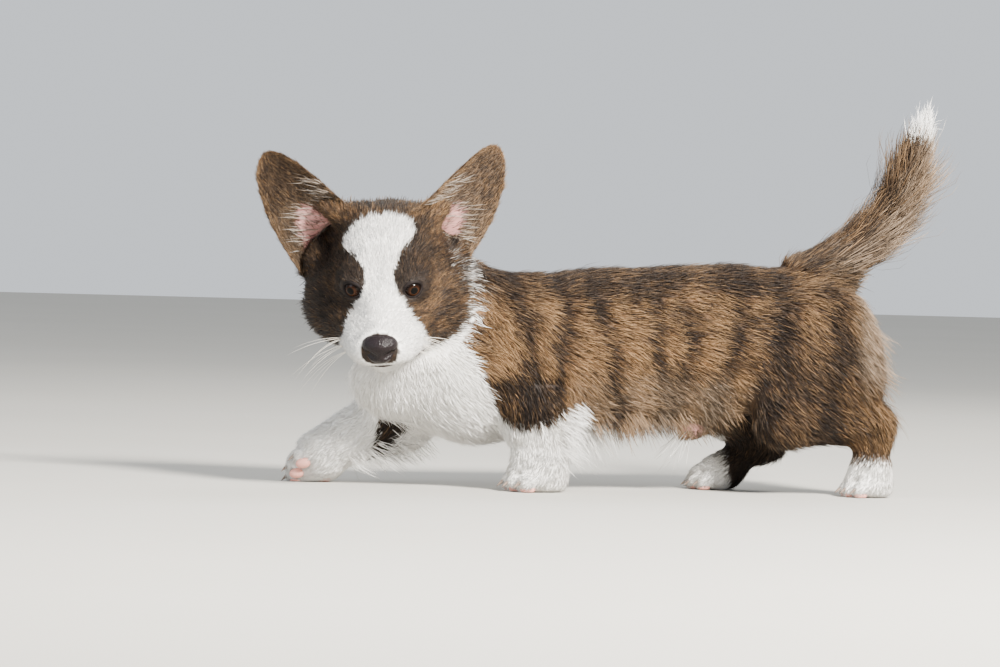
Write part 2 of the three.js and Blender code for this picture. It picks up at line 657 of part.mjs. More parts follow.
const tailTube = (grow) =>
  solid(tube(tailPath, (t) => tailCore(t) + grow, { rings: 11, sides: 8, up: vec(1, 0, 0) }));
function tail(grow) {
  const back = tailCurve.getTangentAt(TIP_SHARE).negate();
  const level = back.dot(tailCurve.getPointAt(TIP_SHARE)) - grow;
  const core = tailTube(grow).trimByPlane(back.toArray(), level);
  return join(core, ...brush([0.14, 0.27, 0.4, 0.53, 0.66], 5, 40, 3, grow));
}
function tailTip(grow) {
  const onward = tailCurve.getTangentAt(TIP_SHARE);
  const level = onward.dot(tailCurve.getPointAt(TIP_SHARE)) - grow;
  const core = tailTube(grow).trimByPlane(onward.toArray(), level);
  return join(core, ...brush([0.8], 5, 30, 9, grow));
}

// What each node is made of. A node gives way, with the clearance, to those before it that it meets.

const recipes = {
  eye_left: (grow) => placed(eyeball(1, grow), HEAD),
  eye_right: (grow) => placed(eyeball(-1, grow), HEAD),
  nose,
  head,
  lower_jaw: lowerJaw,
};
for (const name of Object.keys(legPieces)) recipes[name] = (grow) => leg(name, grow);
for (const name of Object.keys(paws)) recipes[name] = (grow) => paw(name, grow);
recipes.torso = torso;
recipes.neck = neck;
recipes.ear_left = (grow) => placed(ear(1, grow), HEAD);
recipes.ear_right = (grow) => placed(ear(-1, grow), HEAD);
recipes.tail = tail;
recipes.tail_tip = tailTip;

// Colours, roughness: fur is dull, the nose leather and the eyes shine

const fur = (name, color) => new THREE.MeshStandardMaterial({ name, color, roughness: 0.9, metalness: 0 });
const wet = (name, color, roughness) =>
  new THREE.MeshStandardMaterial({ name, color, roughness, metalness: 0 });
const looks = {
  brindle: fur("brindle_coat", 0x4a3a2e),
  white: fur("white_coat", 0xece8e2),
  nose: wet("nose_leather", 0x2b2225, 0.45),
  eye: wet("eye", 0x4a2410, 0.05),
};
function lookOf(name) {
  if (name.startsWith("eye")) return looks.eye;
  if (name === "nose") return looks.nose;
  if (/paw|forearm|jaw|tail_tip|neck/.test(name)) return looks.white;
  return looks.brindle;
}

// Each group holds what belongs together, and turns about its natural pivot.
const puppy = new THREE.Group();
puppy.name = "corgi_puppy";
const headGroup = new THREE.Group();
headGroup.name = "head_group";
HEAD.decompose(headGroup.position, headGroup.quaternion, headGroup.scale);
puppy.add(headGroup);
puppy.updateMatrixWorld(true);

const HEAD_NODES = /^(head|lower_jaw|nose|eye|ear)/;
const boxOf = (made) => {
  const { min, max } = made.boundingBox();
  return new THREE.Box3(vec(...min), vec(...max));
};
const earlier = [];
for (const [name, make] of Object.entries(recipes)) {
  let made = make(0);
  const reachBox = boxOf(made);
  for (const grown of earlier) if (boxOf(grown).intersectsBox(reachBox)) made = made.subtract(grown);
  made = largest(made.trimByPlane([0, 0, 1], 0));
  earlier.push(make(GAP));
  const mesh = new THREE.Mesh(geometryOf(made), lookOf(name));
  mesh.name = name;
  puppy.add(mesh);
  if (HEAD_NODES.test(name)) headGroup.attach(mesh);
}

// The origin is on the floor, under the middle of the model's box.
const box = new THREE.Box3().setFromObject(puppy, true);
const middle = box.getCenter(vec(0, 0, 0));
puppy.position.set(-middle.x, -middle.y, -box.min.z);

export default puppy;
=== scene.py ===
# %% [markdown]
# # A walking Cardigan Welsh corgi puppy
# The solids of the puppy are already made, at life size. This notebook gives them their looks: one skin
# with no seams, a coat of short and long tufts, the eyes, nose, ears, claws and pads of a real puppy.
# All shapes are worked out in millimetres, in the frame that the puppy was designed in: x is the way it
# walks, y is its left, z is up. The last step of each piece moves it into the row's frame, in metres.

# %% Load the solids
import json
import math

import bpy
import numpy as np
import openvdb
from mathutils import Matrix, Vector

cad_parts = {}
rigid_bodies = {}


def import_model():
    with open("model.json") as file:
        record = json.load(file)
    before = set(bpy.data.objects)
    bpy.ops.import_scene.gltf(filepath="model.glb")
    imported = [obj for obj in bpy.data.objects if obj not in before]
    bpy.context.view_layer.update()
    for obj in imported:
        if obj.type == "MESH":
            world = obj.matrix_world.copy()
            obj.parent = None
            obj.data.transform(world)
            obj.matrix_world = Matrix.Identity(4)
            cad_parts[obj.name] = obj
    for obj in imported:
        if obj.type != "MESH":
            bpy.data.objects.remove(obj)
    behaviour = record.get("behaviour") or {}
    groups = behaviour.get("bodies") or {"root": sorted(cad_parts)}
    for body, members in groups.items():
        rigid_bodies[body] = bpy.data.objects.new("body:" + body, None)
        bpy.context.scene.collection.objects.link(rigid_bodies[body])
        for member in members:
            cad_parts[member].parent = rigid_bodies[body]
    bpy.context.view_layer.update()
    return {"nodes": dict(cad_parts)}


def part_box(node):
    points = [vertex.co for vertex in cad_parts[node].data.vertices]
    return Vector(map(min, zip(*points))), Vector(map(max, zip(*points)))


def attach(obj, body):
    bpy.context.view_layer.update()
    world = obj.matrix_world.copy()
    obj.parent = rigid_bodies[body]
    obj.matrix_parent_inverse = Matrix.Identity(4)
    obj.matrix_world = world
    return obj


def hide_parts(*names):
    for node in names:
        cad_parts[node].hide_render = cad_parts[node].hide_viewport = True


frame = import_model()

# %% [markdown]
# ## Shapes as fields
# A field is a function that is negative inside a shape and tells about how far a point is from its skin.
# Fields are a good way to make animals, because two of them melt together with a soft fillet, as a thigh
# does with a belly. The solids were made from the same masses, so the skin fits them everywhere. Here
# each field takes a whole array of points at once, which keeps the work quick.

# %% Fields of simple masses


def spin(turn=0.0, dip=0.0, roll=0.0):
    """Axes of a frame turned about z, tipped nose down about y, then rolled about x, in degrees."""
    a, b, c = np.radians([turn, dip, roll])
    about_z = np.array([[np.cos(a), -np.sin(a), 0], [np.sin(a), np.cos(a), 0], [0, 0, 1]])
    about_y = np.array([[np.cos(b), 0, np.sin(b)], [0, 1, 0], [-np.sin(b), 0, np.cos(b)]])
    about_x = np.array([[1, 0, 0], [0, np.cos(c), -np.sin(c)], [0, np.sin(c), np.cos(c)]])
    return about_z @ about_y @ about_x


def length_of(v):
    return np.sqrt((v * v).sum(-1))


def unit(v):
    return v / np.maximum(length_of(v), 1e-9)[..., None]


def egg(centre, radii, dip=0.0, turn=0.0):
    """A ball with three radii, tipped nose down by dip and turned about z."""
    axes = spin(turn, dip)
    middle = np.array(centre, float)
    radii = np.array(radii, float)

    def field(p):
        q = (p - middle) @ axes
        near = length_of(q / radii)
        slope = np.maximum(length_of(q / radii**2), 1e-9)
        return near * (near - 1) / slope

    return field


def limb(a, radius_a, b, radius_b):
    """A round bar from a to b whose radius changes evenly along it."""
    start = np.array(a, float)
    along = np.array(b, float) - start

    def field(p):
        q = p - start
        t = np.clip(q @ along / (along @ along), 0, 1)
        return length_of(q - t[..., None] * along) - (radius_a + (radius_b - radius_a) * t)

    return field


def melt(a, b, fillet):
    """The union of two fields with a soft fillet between them."""
    h = np.maximum(fillet - np.abs(a - b), 0) / fillet
    return np.minimum(a, b) - h * h * fillet / 4


def blend(fillet, *fields):
    def field(p):
        value = fields[0](p)
        for other in fields[1:]:
            value = melt(value, other(p), fillet)
        return value

    return field


def within(axes, origin, field, size=1.0):
    """A field that was written in a frame of its own, such as the head's or a paw's."""
    return lambda p: field((p - origin) @ axes / size) * size


def smooth(low, high, value):
    """A soft step from 0 at low to 1 at high, which may be the lesser of the two."""
    t = np.clip((value - low) / (high - low), 0, 1)
    return t * t * (3 - 2 * t)


# %% [markdown]
# ## The head's frame and the shift into the row's frame
# The head is turned to the viewer and carried a little low. In its own frame x points to the nose and z
# to the crown. The eyes are the one place that both frames share exactly, so they give the shift.

# %% Head frame, eyes and shift
HEAD_AT = np.array([156.0, 9.0, 150.0])
HEAD_AXES = spin(72.5, 28, 2.5)
EYE_RADIUS = 8.2
EYE_SPACING = 43.5
EYE_HEIGHT = 12.0
EYE_TURN = math.radians(24)
EYE_PROUD = 0.6
SIDES = (1, -1)

skull = blend(
    12,
    egg([-3, 0, 4], [51, 43, 44]),
    egg([10, 36, -20], [36, 25, 30], 0, -14),
    egg([10, -36, -20], [36, 25, 30], 0, 14),
    egg([42, 21, -19], [30, 17, 19], 0, -20),
    egg([42, -21, -19], [30, 17, 19], 0, 20),
    egg([36, 20, 12.5], [14.5, 14, 14]),
    egg([36, -20, 12.5], [14.5, 14, 14]),
    limb([36, 0, 2], 20, [80, 0, -9], 12.5),
    egg([69, 12, -17], [23, 15, 14], 4, -8),
    egg([69, -12, -17], [23, 15, 14], 4, 8),
    egg([6, 0, -32], [36, 34, 22]),
)
# Flesh and gristle at the root of each ear, which the skin has over the bare skull.
ear_roots = blend(
    8,
    limb([-14, 24, 31], 15, [-17, 38, 40], 9.5), limb([-14, -24, 31], 15, [-17, -42, 40], 9.5),
    limb([-30, 36, 10], 13, [-37, 50, 14], 8), limb([-30, -36, 10], 13, [-37, -53, 14], 8),
    limb([-24, 38, -12], 14, [-28, 51, -15], 11), limb([-24, -40, -12], 14, [-28, -56, -16], 11),
    limb([-6, 40, -12], 14, [-20, 47, 8], 10), limb([-6, -42, -12], 14, [-20, -50, 8], 10),
    limb([-2, 42, -14], 12, [-12, 50, 0], 9), limb([-2, -43, -14], 12, [-13, -54, 1], 10),
)


def from_head(q):
    return np.asarray(q, float) @ HEAD_AXES.T + HEAD_AT


def to_head(p):
    return (p - HEAD_AT) @ HEAD_AXES


def eye_axis(side):
    return unit(np.array([math.cos(EYE_TURN), side * math.sin(EYE_TURN), 0.05]))


def seat_eye():
    """The eyeball moves forward out of the face until its front stands just proud of it."""
    y = EYE_SPACING / 2 - EYE_RADIUS * math.sin(EYE_TURN)
    x, furthest, step = 20.0, 70.0, 0.1
    front = eye_axis(1) * (EYE_RADIUS - EYE_PROUD)
    while x < furthest and skull(np.array([x, y, EYE_HEIGHT]) + front) < 0:
        x += step
    return x, y


EYE_X, EYE_Y = seat_eye()


def eye_centre(side):
    return np.array([EYE_X, side * EYE_Y, EYE_HEIGHT])


def middle_of(node):
    low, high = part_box(node)
    return (np.array(low) + np.array(high)) / 2


METRE = 1000.0
SHIFT = (middle_of("eye_left") + middle_of("eye_right")) / 2 * METRE
SHIFT -= from_head([EYE_X, 0, EYE_HEIGHT])


def to_row(p):
    return (np.asarray(p, float) + SHIFT) / METRE


def node_box(node, margin=0.0):
    low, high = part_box(node)
    return np.array(low) * METRE - SHIFT - margin, np.array(high) * METRE - SHIFT + margin


print("shift in mm:", SHIFT.round(3), "eyes at x", round(EYE_X, 2))

# %% [markdown]
# ## The camera
# The photograph was taken from nearly four metres away with a long lens, a little above the puppy's
# back and not quite level. A long lens keeps the head and the tail at almost the same scale.

# %% Camera
CAMERA_AT = (1102.89, 3845.59, 210.0)
HEADING = math.radians(15)
LOOK_DOWN = math.radians(1.47)
CAMERA_ROLL = math.radians(1.8)
LENS = 205.7
SENSOR_WIDTH = 36
FURTHEST_SEEN = 50


def to_body(v):
    """From the camera's level frame, x to the right and y away, to the puppy's own."""
    x, y, z = v
    c, s = math.cos(HEADING), math.sin(HEADING)
    return np.array([-c * x - s * y, s * x - c * y, z])


def place_camera():
    right = np.array([1.0, 0, 0])
    up = np.array([0, math.sin(LOOK_DOWN), math.cos(LOOK_DOWN)])
    ahead = np.array([0, math.cos(LOOK_DOWN), -math.sin(LOOK_DOWN)])
    c, s = math.cos(CAMERA_ROLL), math.sin(CAMERA_ROLL)
    columns = [to_body(right * c + up * s), to_body(up * c - right * s), to_body(-ahead)]
    data = bpy.data.cameras.new("camera")
    data.lens = LENS
    data.sensor_width = SENSOR_WIDTH
    data.clip_end = FURTHEST_SEEN
    camera = bpy.data.objects.new("camera", data)
    bpy.context.scene.collection.objects.link(camera)
    turned = Matrix(np.array(columns).T.tolist()).to_4x4()
    camera.matrix_world = Matrix.Translation(Vector(to_row(CAMERA_AT))) @ turned
    bpy.context.scene.camera = camera
    return camera


camera = place_camera()
print("camera at", [round(v, 3) for v in camera.matrix_world.translation])

# %% [markdown]
# ## The parts of the body
# Each part has its mass, the depth of the coat that lies on it, and how its hair grows: which way it
# lies, how long and wide a tuft is, and how steeply it stands. The skin lies inside the solids by the
# depth of the coat. Puppies have short hair on the face and feet and a deep, soft coat on the body.

# %% Trunk and neck
PARTS = {}


def part(name, field, depth, fillet, lie, hair, nodes, margin=16):
    """hair is the length, width and rise of a tuft: millimetres, and the slope it starts at."""
    boxes = [node_box(node, margin) for node in nodes]
    PARTS[name] = {
        "field": field, "depth": depth, "fillet": fillet, "lie": lie, "hair": hair,
        "low": np.min([low for low, _ in boxes], 0), "high": np.max([high for _, high in boxes], 0),
    }


def steady(*direction):
    v = unit(np.array(direction, float))
    return lambda p: np.broadcast_to(v, p.shape)


def head_lie(p):
    """From the nose back over the face, out over the cheeks and down the jaw."""
    q = to_head(p)
    v = np.stack([-np.ones(len(q)), q[:, 1] / 90, (q[:, 2] + 8) / 110 - 0.12], -1)
    return unit(v) @ HEAD_AXES.T


def neck_lie(p):
    """The ruff falls from the head, down the chest in front and back over the nape."""
    away = unit(p - np.array([140.0, 4.0, 150.0]))
    return unit(away * 0.5 + np.array([-0.25, 0, -0.75]))


def trunk_lie(p):
    """Back along the body, and downward as well towards the belly."""
    low = smooth(150, 60, p[:, 2])
    return unit(np.stack([-np.ones(len(p)), np.zeros(len(p)), -0.12 - 0.5 * low], -1))


trunk = blend(
    26,
    egg([36, 0, 95.5], [88, 54, 59]),
    egg([-62, 0, 101], [92, 50, 57], 3),
    egg([-140, 0, 114], [60, 48, 48], 8),
    egg([92, -1, 78], [48, 44, 50], -12),
)
neck = blend(18, limb([70, 0, 111], 42, [138, -2, 136], 38), egg([129, 2, 80], [53, 38, 37], 12))
part("trunk", trunk, 4.5, 20, trunk_lie, (11, 0.52, 0.34), ["torso"])
part("neck", neck, 5.0, 22, neck_lie, (11, 0.48, 0.32), ["neck"])

# %% Legs
ELBOW_LEFT = [54, 34, 55]
ELBOW_RIGHT = [134, -37, 49]
WRIST_RIGHT = [190, -36, 22]
HOCK_LEFT = [-191, 36, 50]
HOCK_RIGHT = [-136, -35, 35]
LEG_FILLET = 14


def leg_part(name, mass, depth, lie, hair):
    part(name, mass, depth, LEG_FILLET, steady(*lie), hair, [name])


shoulder_left = blend(14, egg([66, 30, 97], [31, 25, 34]), limb([60, 32, 76], 24, ELBOW_LEFT, 23))
leg_part("shoulder_left", shoulder_left, 4.5, (-0.6, 0, -0.8), (10, 0.5, 0.34))
leg_part("forearm_left", limb(ELBOW_LEFT, 23, [51, 36, 12], 17), 1.4, (-0.25, 0, -1), (8, 0.5, 0.4))
shoulder_right = blend(14, egg([88, -31, 84], [36, 26, 32]), limb([104, -33, 74], 27, ELBOW_RIGHT, 25))
leg_part("shoulder_right", shoulder_right, 4.0, (0.2, 0, -1), (10, 0.6, 0.36))
leg_part("forearm_right", limb(ELBOW_RIGHT, 25, WRIST_RIGHT, 16), 1.4, (0.9, 0, -0.5), (8, 0.5, 0.4))
thigh_left = blend(
    16,
    egg([-153, 33, 100], [46, 26, 50]),
    egg([-166, 33, 76], [33, 25, 34]),
    limb([-140, 34, 84], 27, [-124, 36, 57], 24),
)
shank_left = limb([-134, 37, 58], 24, HOCK_LEFT, 15.5)
leg_part("thigh_left", thigh_left, 4.5, (-0.85, 0, -0.7), (11.5, 0.52, 0.38))
leg_part("shank_left", shank_left, 4.0, (-0.75, 0, -0.6), (9.5, 0.56, 0.36))
leg_part("hock_left", limb(HOCK_LEFT, 15.5, [-191, 36, 10], 14), 2.8, (0.1, 0, -1), (7, 0.52, 0.34))
thigh_right = blend(16, egg([-142, -33, 100], [48, 26, 48]), limb([-136, -34, 88], 27, [-102, -35, 64], 24))
shank_right = limb([-96, -36, 60], 21, HOCK_RIGHT, 13.5)
leg_part("thigh_right", thigh_right, 4.5, (-0.85, 0, -0.7), (11.5, 0.52, 0.38))
leg_part("shank_right", shank_right, 3.2, (-0.7, 0, -0.7), (8.5, 0.6, 0.36))
leg_part("hock_right", limb(HOCK_RIGHT, 13.5, [-100, -34, 13], 12), 2.5, (0.8, 0, -0.6), (6.5, 0.52, 0.34))

# %% Paws
TOES = 4
TOE_SPREAD = 10.4
TOE_HEIGHT = 6.4
MIDDLE_REACH = 17.5
OUTER_REACH = 13.0


def make_paw(at, turned, size, grip, wrist):
    """grip is where the wrist enters, in the paw's own frame, and wrist is its radius there."""
    return {"origin": np.array(at, float), "axes": spin(*turned), "size": size, "grip": grip, "wrist": wrist}


paws = {
    "forepaw_left": make_paw([52, 36, 0], (4, 0, 0), 1.0, [-2, 0, 22], 16.5),
    "forepaw_right": make_paw([190, -36, 6], (-4, 10, 42), 0.96, [-10, 0, 20], 15.5),
    "hindpaw_left": make_paw([-189, 36, 0], (3, 0, 0), 0.82, [-2, 0, 22], 14),
    "hindpaw_right": make_paw([-97, -34, 0], (-3, 0, 0), 0.82, [-14, 0, 18], 12),
}


def toe_tip(toe):
    """The two middle toes reach further than the outer ones."""
    share = toe - (TOES - 1) / 2
    return np.array([MIDDLE_REACH if abs(share) < 1 else OUTER_REACH, share * TOE_SPREAD, TOE_HEIGHT])


def paw_field(grip, wrist):
    """A palm and four toes, with a cleft pressed in between each two of them."""
    arm = limb(grip, wrist, [-4, 0, 13], 15)
    palm = blend(10, limb([-6, 0, 12], 15, [8, 0, 10], 13.5), egg([8, 0, 9], [13, 20, 9]), arm)
    toes = [limb([2, (toe - (TOES - 1) / 2) * 8, 12], 6.4, toe_tip(toe), 7.0) for toe in range(TOES)]
    clefts = [limb([12, (toe - 1) * 9.6, 16], 0.5, [30, (toe - 1) * 12.5, 6], 1.6) for toe in range(TOES - 1)]

    def field(p):
        value = toes[0](p)
        for other in toes[1:]:
            value = melt(value, other(p), 1.0)
        value = melt(value, palm(p), 4)
        for cleft in clefts:
            value = -melt(-value, cleft(p), 2.5)
        return value

    return field


for name, paw in paws.items():
    own_field = paw_field(paw["grip"], paw["wrist"] / paw["size"])
    field = within(paw["axes"], paw["origin"], own_field, paw["size"])
    forward = unit(paw["axes"] @ np.array([0.75, 0, -0.65]))
    part(name, field, 1.4, 8, steady(*forward), (3.6, 0.42, 0.42), [name])

# %% Tail
TAIL_POINTS = np.array([
    [-136, 0, 139], [-160, 0, 155], [-181, 0, 169], [-205, 1, 191],
    [-219.5, 2, 217], [-226.6, 3, 238], [-233, 4, 260], [-240, 5, 283],
], float)
TAIL_STEPS = 60
TAIL_RADIUS = 20.5


def curve_through(points, steps):
    """A smooth curve through the points, as evenly spaced points."""
    ends = [2 * points[0] - points[1], *points, 2 * points[-1] - points[-2]]
    fine = []
    for a, b, c, d in zip(ends, ends[1:], ends[2:], ends[3:]):
        for t in np.linspace(0, 1, 20, endpoint=False):
            bend = (2 * a - 5 * b + 4 * c - d) * t**2 + (3 * b - a - 3 * c + d) * t**3
            fine.append(0.5 * (2 * b + (c - a) * t + bend))
    fine = np.array([*fine, points[-1]])
    run = np.concatenate([[0], np.cumsum(length_of(np.diff(fine, axis=0)))])
    even = np.linspace(0, run[-1], steps)
    return np.stack([np.interp(even, run, fine[:, i]) for i in range(3)], -1)


tail_line = curve_through(TAIL_POINTS, TAIL_STEPS)
tail_heading = unit(np.gradient(tail_line, axis=0))


def tail_outline(t):
    """Radius of the brushed tail: a little slimmer behind its root, and coming to a point."""
    swell = np.sin(np.pi * np.clip(t * 1.4 - 0.35, 0, 1)) - 1.5 * np.sin(np.pi * np.clip(t * 1.8, 0, 1))
    point = np.clip((t - 0.66) / 0.34, 0, 1) ** 1.5
    return TAIL_RADIUS + swell - 20 * point


def tail_core(t):
    """The tail's flesh: as wide as its outline just behind the root, and slim from halfway out."""
    share = (0.4 + 0.6 * smooth(0.52, 0.1, t)) * (0.62 + 0.38 * smooth(0.0, 0.1, t))
    thinnest, flesh_end, shrink = 1.6, 0.87, 200
    return np.maximum(tail_outline(t) * share, thinnest) - shrink * np.maximum(t - flesh_end, 0)


def near_tail(p):
    """Share of the tail's length at the nearest point of its middle line, and the distance to it."""
    best = np.full(len(p), 1e9)
    at = np.zeros(len(p))
    for i in range(TAIL_STEPS - 1):
        a, along = tail_line[i], tail_line[i + 1] - tail_line[i]
        t = np.clip((p - a) @ along / (along @ along), 0, 1)
        d = length_of(p - a - t[:, None] * along)
        nearer = d < best
        best[nearer] = d[nearer]
        at[nearer] = (i + t[nearer]) / (TAIL_STEPS - 1)
    return at, best


def tail_step(at):
    """The point of the tail's middle line that a share of its length falls on."""
    return np.clip((at * (TAIL_STEPS - 1)).astype(int), 0, TAIL_STEPS - 1)


def tail_field(p):
    at, distance = near_tail(p.reshape(-1, 3))
    return (distance - tail_core(at)).reshape(p.shape[:-1])


def tail_lie(p):
    at, _ = near_tail(p)
    return tail_heading[tail_step(at)]


part("tail", tail_field, 2.0, 16, tail_lie, (25, 0.6, 1.0), ["tail", "tail_tip"], 8)

# %% Sheath, head and jaw
sheath = egg([-71, 3, 45], [14, 6.5, 8.5], 24)
jaw = blend(8, limb([26, 0, -31], 21, [52, 0, -31], 17), limb([52, 0, -31], 17, [74, 0, -28], 10.5))
head = within(HEAD_AXES, HEAD_AT, blend(10, skull, ear_roots))
part("sheath", sheath, 1.0, 8, steady(0.6, 0, -0.6), (3, 0.36, 0.2), ["torso"])
part("head", head, 2.0, 10, head_lie, (5.2, 0.46, 0.5), ["head"])
part("jaw", within(HEAD_AXES, HEAD_AT, jaw), 2.0, 3, head_lie, (4.5, 0.42, 0.5), ["lower_jaw"])
print("parts:", len(PARTS))

# %% [markdown]
# ## The skin
# The fields are sampled on a grid of points and the surface where they are zero becomes the mesh. The
# solids could be smoothed into a skin too, but it would keep their facets. The sockets are carved round
# the eyeballs, so that the lids have something to stand on.

# %% Topline and depth of the coat
# Where the topline is raised or lowered: its place along the back, how wide, and by how much.
BACK_RISES = ((-26, 36, 3.4), (64, 26, -3.2), (4, 24, 3.2), (-45, 25, 1.6), (-90, 26, 5.2))


def back_line(p):
    """Millimetres that level the topline: it rises behind the withers and is shaved at the nape."""
    rise = sum(high * np.exp(-(((p[..., 0] - u) / wide) ** 2)) for u, wide, high in BACK_RISES)
    return rise * smooth(118, 148, p[..., 2])


def depth_at(name, p):
    """The coat is shallow on the muzzle and deeper on the cheeks and crown."""
    depth = PARTS[name]["depth"]
    if name in ("trunk", "neck"):
        return depth - back_line(p)
    if name != "head":
        return depth
    q = to_head(p)
    cheek = smooth(14, 50, np.abs(q[..., 1])) * smooth(50, 20, q[..., 0])
    return 1.0 + 1.6 * smooth(60, 25, q[..., 0]) + 1.6 * cheek


# %% Eye sockets
LID_HALF_LENGTH = math.radians(50)
LID_HALF_HEIGHT = math.radians(36)
LID_COVER = 1.2
# How steeply the outer corner of an eye rises, and how far the opening reaches under the lids.
LID_TILT = 0.13
LID_EDGE = 0.06
LID_FILLET = 4
SOCKET_DEPTH = 2.5


def eye_frame(side):
    """Unit vectors of an eye: straight ahead, out to its outer corner, and up."""
    forward = eye_axis(side)
    across = unit(np.cross([0, 0, side], forward))
    return forward, across, np.cross(forward, across) * side


def opening_field(p, side):
    """Outside the wedge that the lids leave open in front of an eyeball, in millimetres."""
    forward, across, above = eye_frame(side)
    q = to_head(p) - eye_centre(side)
    ahead, aside, high = q @ forward, q @ across, q @ above
    polar = np.arctan2(np.hypot(aside, high), ahead)
    turn = np.arctan2(high, aside)
    a = polar * np.cos(turn)
    b = polar * np.sin(turn) - LID_TILT * np.maximum(a, 0)
    reach = np.hypot(a / (LID_HALF_LENGTH + LID_EDGE), b / (LID_HALF_HEIGHT + LID_EDGE))
    return (reach - 1) * EYE_RADIUS * 0.8


def with_eye(value, p, side):
    """Lays a thin lid of skin over an eyeball and opens it in front."""
    from_centre = length_of(p - from_head(eye_centre(side)))
    value = melt(value, from_centre - EYE_RADIUS - LID_COVER, LID_FILLET)
    carved = np.maximum(opening_field(p, side), EYE_RADIUS - SOCKET_DEPTH - from_centre)
    return np.maximum(value, -carved)


# %% Sample the fields and mesh the skin
SPACING = 1.8
FAR = 30.0
EYE_ROOM = 16
LOWEST_SKIN = 0.4


def block_of(ticks, low, high):
    """The slices of a grid that lie in a box, and the points there."""
    cut = tuple(slice(*np.searchsorted(t, [a, b])) for t, a, b in zip(ticks, low, high))
    return cut, np.stack(np.meshgrid(*[t[c] for t, c in zip(ticks, cut)], indexing="ij"), -1)


def sample_body():
    low = np.min([made["low"] for made in PARTS.values()], 0)
    high = np.max([made["high"] for made in PARTS.values()], 0)
    ticks = [np.arange(a, b, SPACING) for a, b in zip(low, high)]
    volume = np.full([len(t) for t in ticks], FAR, np.float32)
    for name, made in PARTS.items():
        cut, block = block_of(ticks, made["low"], made["high"])
        value = made["field"](block) + depth_at(name, block)
        volume[cut] = melt(volume[cut], value, made["fillet"])
    for side in SIDES:
        centre = from_head(eye_centre(side))
        cut, block = block_of(ticks, centre - EYE_ROOM, centre + EYE_ROOM)
        volume[cut] = with_eye(volume[cut], block, side)
    volume = np.maximum(volume, LOWEST_SKIN - ticks[2][None, None, :]).astype(np.float32)
    return volume, low


def surface_of(volume, low, spacing):
    """Points in millimetres and four-sided faces of the surface where a sampled field is zero."""
    grid = openvdb.FloatGrid(FAR)
    grid.copyFromArray(volume)
    grid.transform = openvdb.createLinearTransform(voxelSize=spacing)
    points, quads = grid.convertToQuads(isovalue=0.0)
    return np.asarray(points, float) + low, np.asarray(quads, int)


volume, volume_low = sample_body()
skin_points, skin_faces = surface_of(volume, volume_low, SPACING)
print("skin:", len(skin_points), "points", len(skin_faces), "faces")

# %% [markdown]
# ## The ears
# A puppy's ear is a leaf of gristle: nearly a tube at its root, opening towards a round tip. Both its
# faces are rows of points worked out from the ear's width, how far it wraps round, and how it leans.

# %% Ears
# How each ear is carried: how far it leans out, where it is rooted, how its tip bends in, and its turn.
EAR_POSES = {
    1: {"stand": 47, "apart": 44.6, "inward": 12.5, "tip": -14.5, "turn": 10.6},
    -1: {"stand": 36.3, "apart": 51.7, "inward": 6.5, "tip": 0.8, "turn": -8.4},
}
EAR_LENGTH = 61
EAR_HALF_WIDTH = 28.5
EAR_TAPER = 11
EAR_THICKNESS = 2.0
EAR_ROWS = 46
EAR_COLUMNS = 45


def about_x(degrees):
    return spin(0, 0, degrees)


def ear_axes(side):
    pose = EAR_POSES[side]
    return about_x(-side * pose["stand"]) @ spin(0, pose["tip"], 0) @ spin(side * pose["turn"], 0, 0)


def ear_grid():
    """s from root to tip, in rows that close up to the tip, and a from edge to edge."""
    rows = np.linspace(0, 0.998, EAR_ROWS) ** 0.85
    return np.meshgrid(rows, np.linspace(-1, 1, EAR_COLUMNS), indexing="ij")


def ear_point(side, s, a, off):
    """A point of the ear at s and a, off behind its inner face."""
    root, wrap_depth, outer_root, bend_back = 14, 0.6, 12, 9
    tip_start, tip_length, tip_power = 0.3, 0.702, 2.4
    wrap_at_root, unwrapped_at_tip = 100, 72
    inward, apart = EAR_POSES[side]["inward"], EAR_POSES[side]["apart"]
    round_tip = np.sqrt(np.maximum(1 - (np.maximum(s - tip_start, 0) / tip_length) ** tip_power, 0))
    half = (EAR_HALF_WIDTH - EAR_TAPER * s) * round_tip
    sweep = np.radians(wrap_at_root - unwrapped_at_tip * np.sqrt(s))
    r = half / np.sin(np.minimum(sweep, np.pi / 2))
    outer = r + off
    angle = a * sweep
    q = np.stack([
        wrap_depth * (r * np.cos(sweep) - outer * np.cos(angle)) - bend_back * s * s,
        side * (outer * np.sin(angle) - inward * s * s),
        -root + s * (EAR_LENGTH + root) - outer_root * np.maximum(a, 0) * (1 - s) ** 2,
    ], -1)
    place = np.array([-12.0, side * apart, 28.0])
    return from_head(q @ ear_axes(side).T + place)


def ear_mesh(side):
    s, a = ear_grid()
    thin = 1 - 0.6 * np.maximum(np.abs(a), s) ** 4
    inner = ear_point(side, s, a, 0.5).reshape(-1, 3)
    outer = ear_point(side, s, a, 0.5 + (EAR_THICKNESS - 0.9) * thin).reshape(-1, 3)
    count = EAR_ROWS * EAR_COLUMNS
    index = np.arange(count).reshape(EAR_ROWS, EAR_COLUMNS)
    front = np.stack([index[:-1, :-1], index[:-1, 1:], index[1:, 1:], index[1:, :-1]], -1).reshape(-1, 4)
    back = front[:, ::-1] + count
    rim = np.concatenate([index[0, :], index[1:, -1], index[-1, -2::-1], index[-2:0:-1, 0]])
    following = np.roll(rim, -1)
    edge = np.stack([following, rim, rim + count, following + count], -1)
    faces = np.concatenate([front, back, edge])
    if side < 0:
        faces = faces[:, ::-1]
    return np.concatenate([inner, outer]), faces


ears = {side: ear_mesh(side) for side in SIDES}
print("ear faces:", len(ears[1][1]))

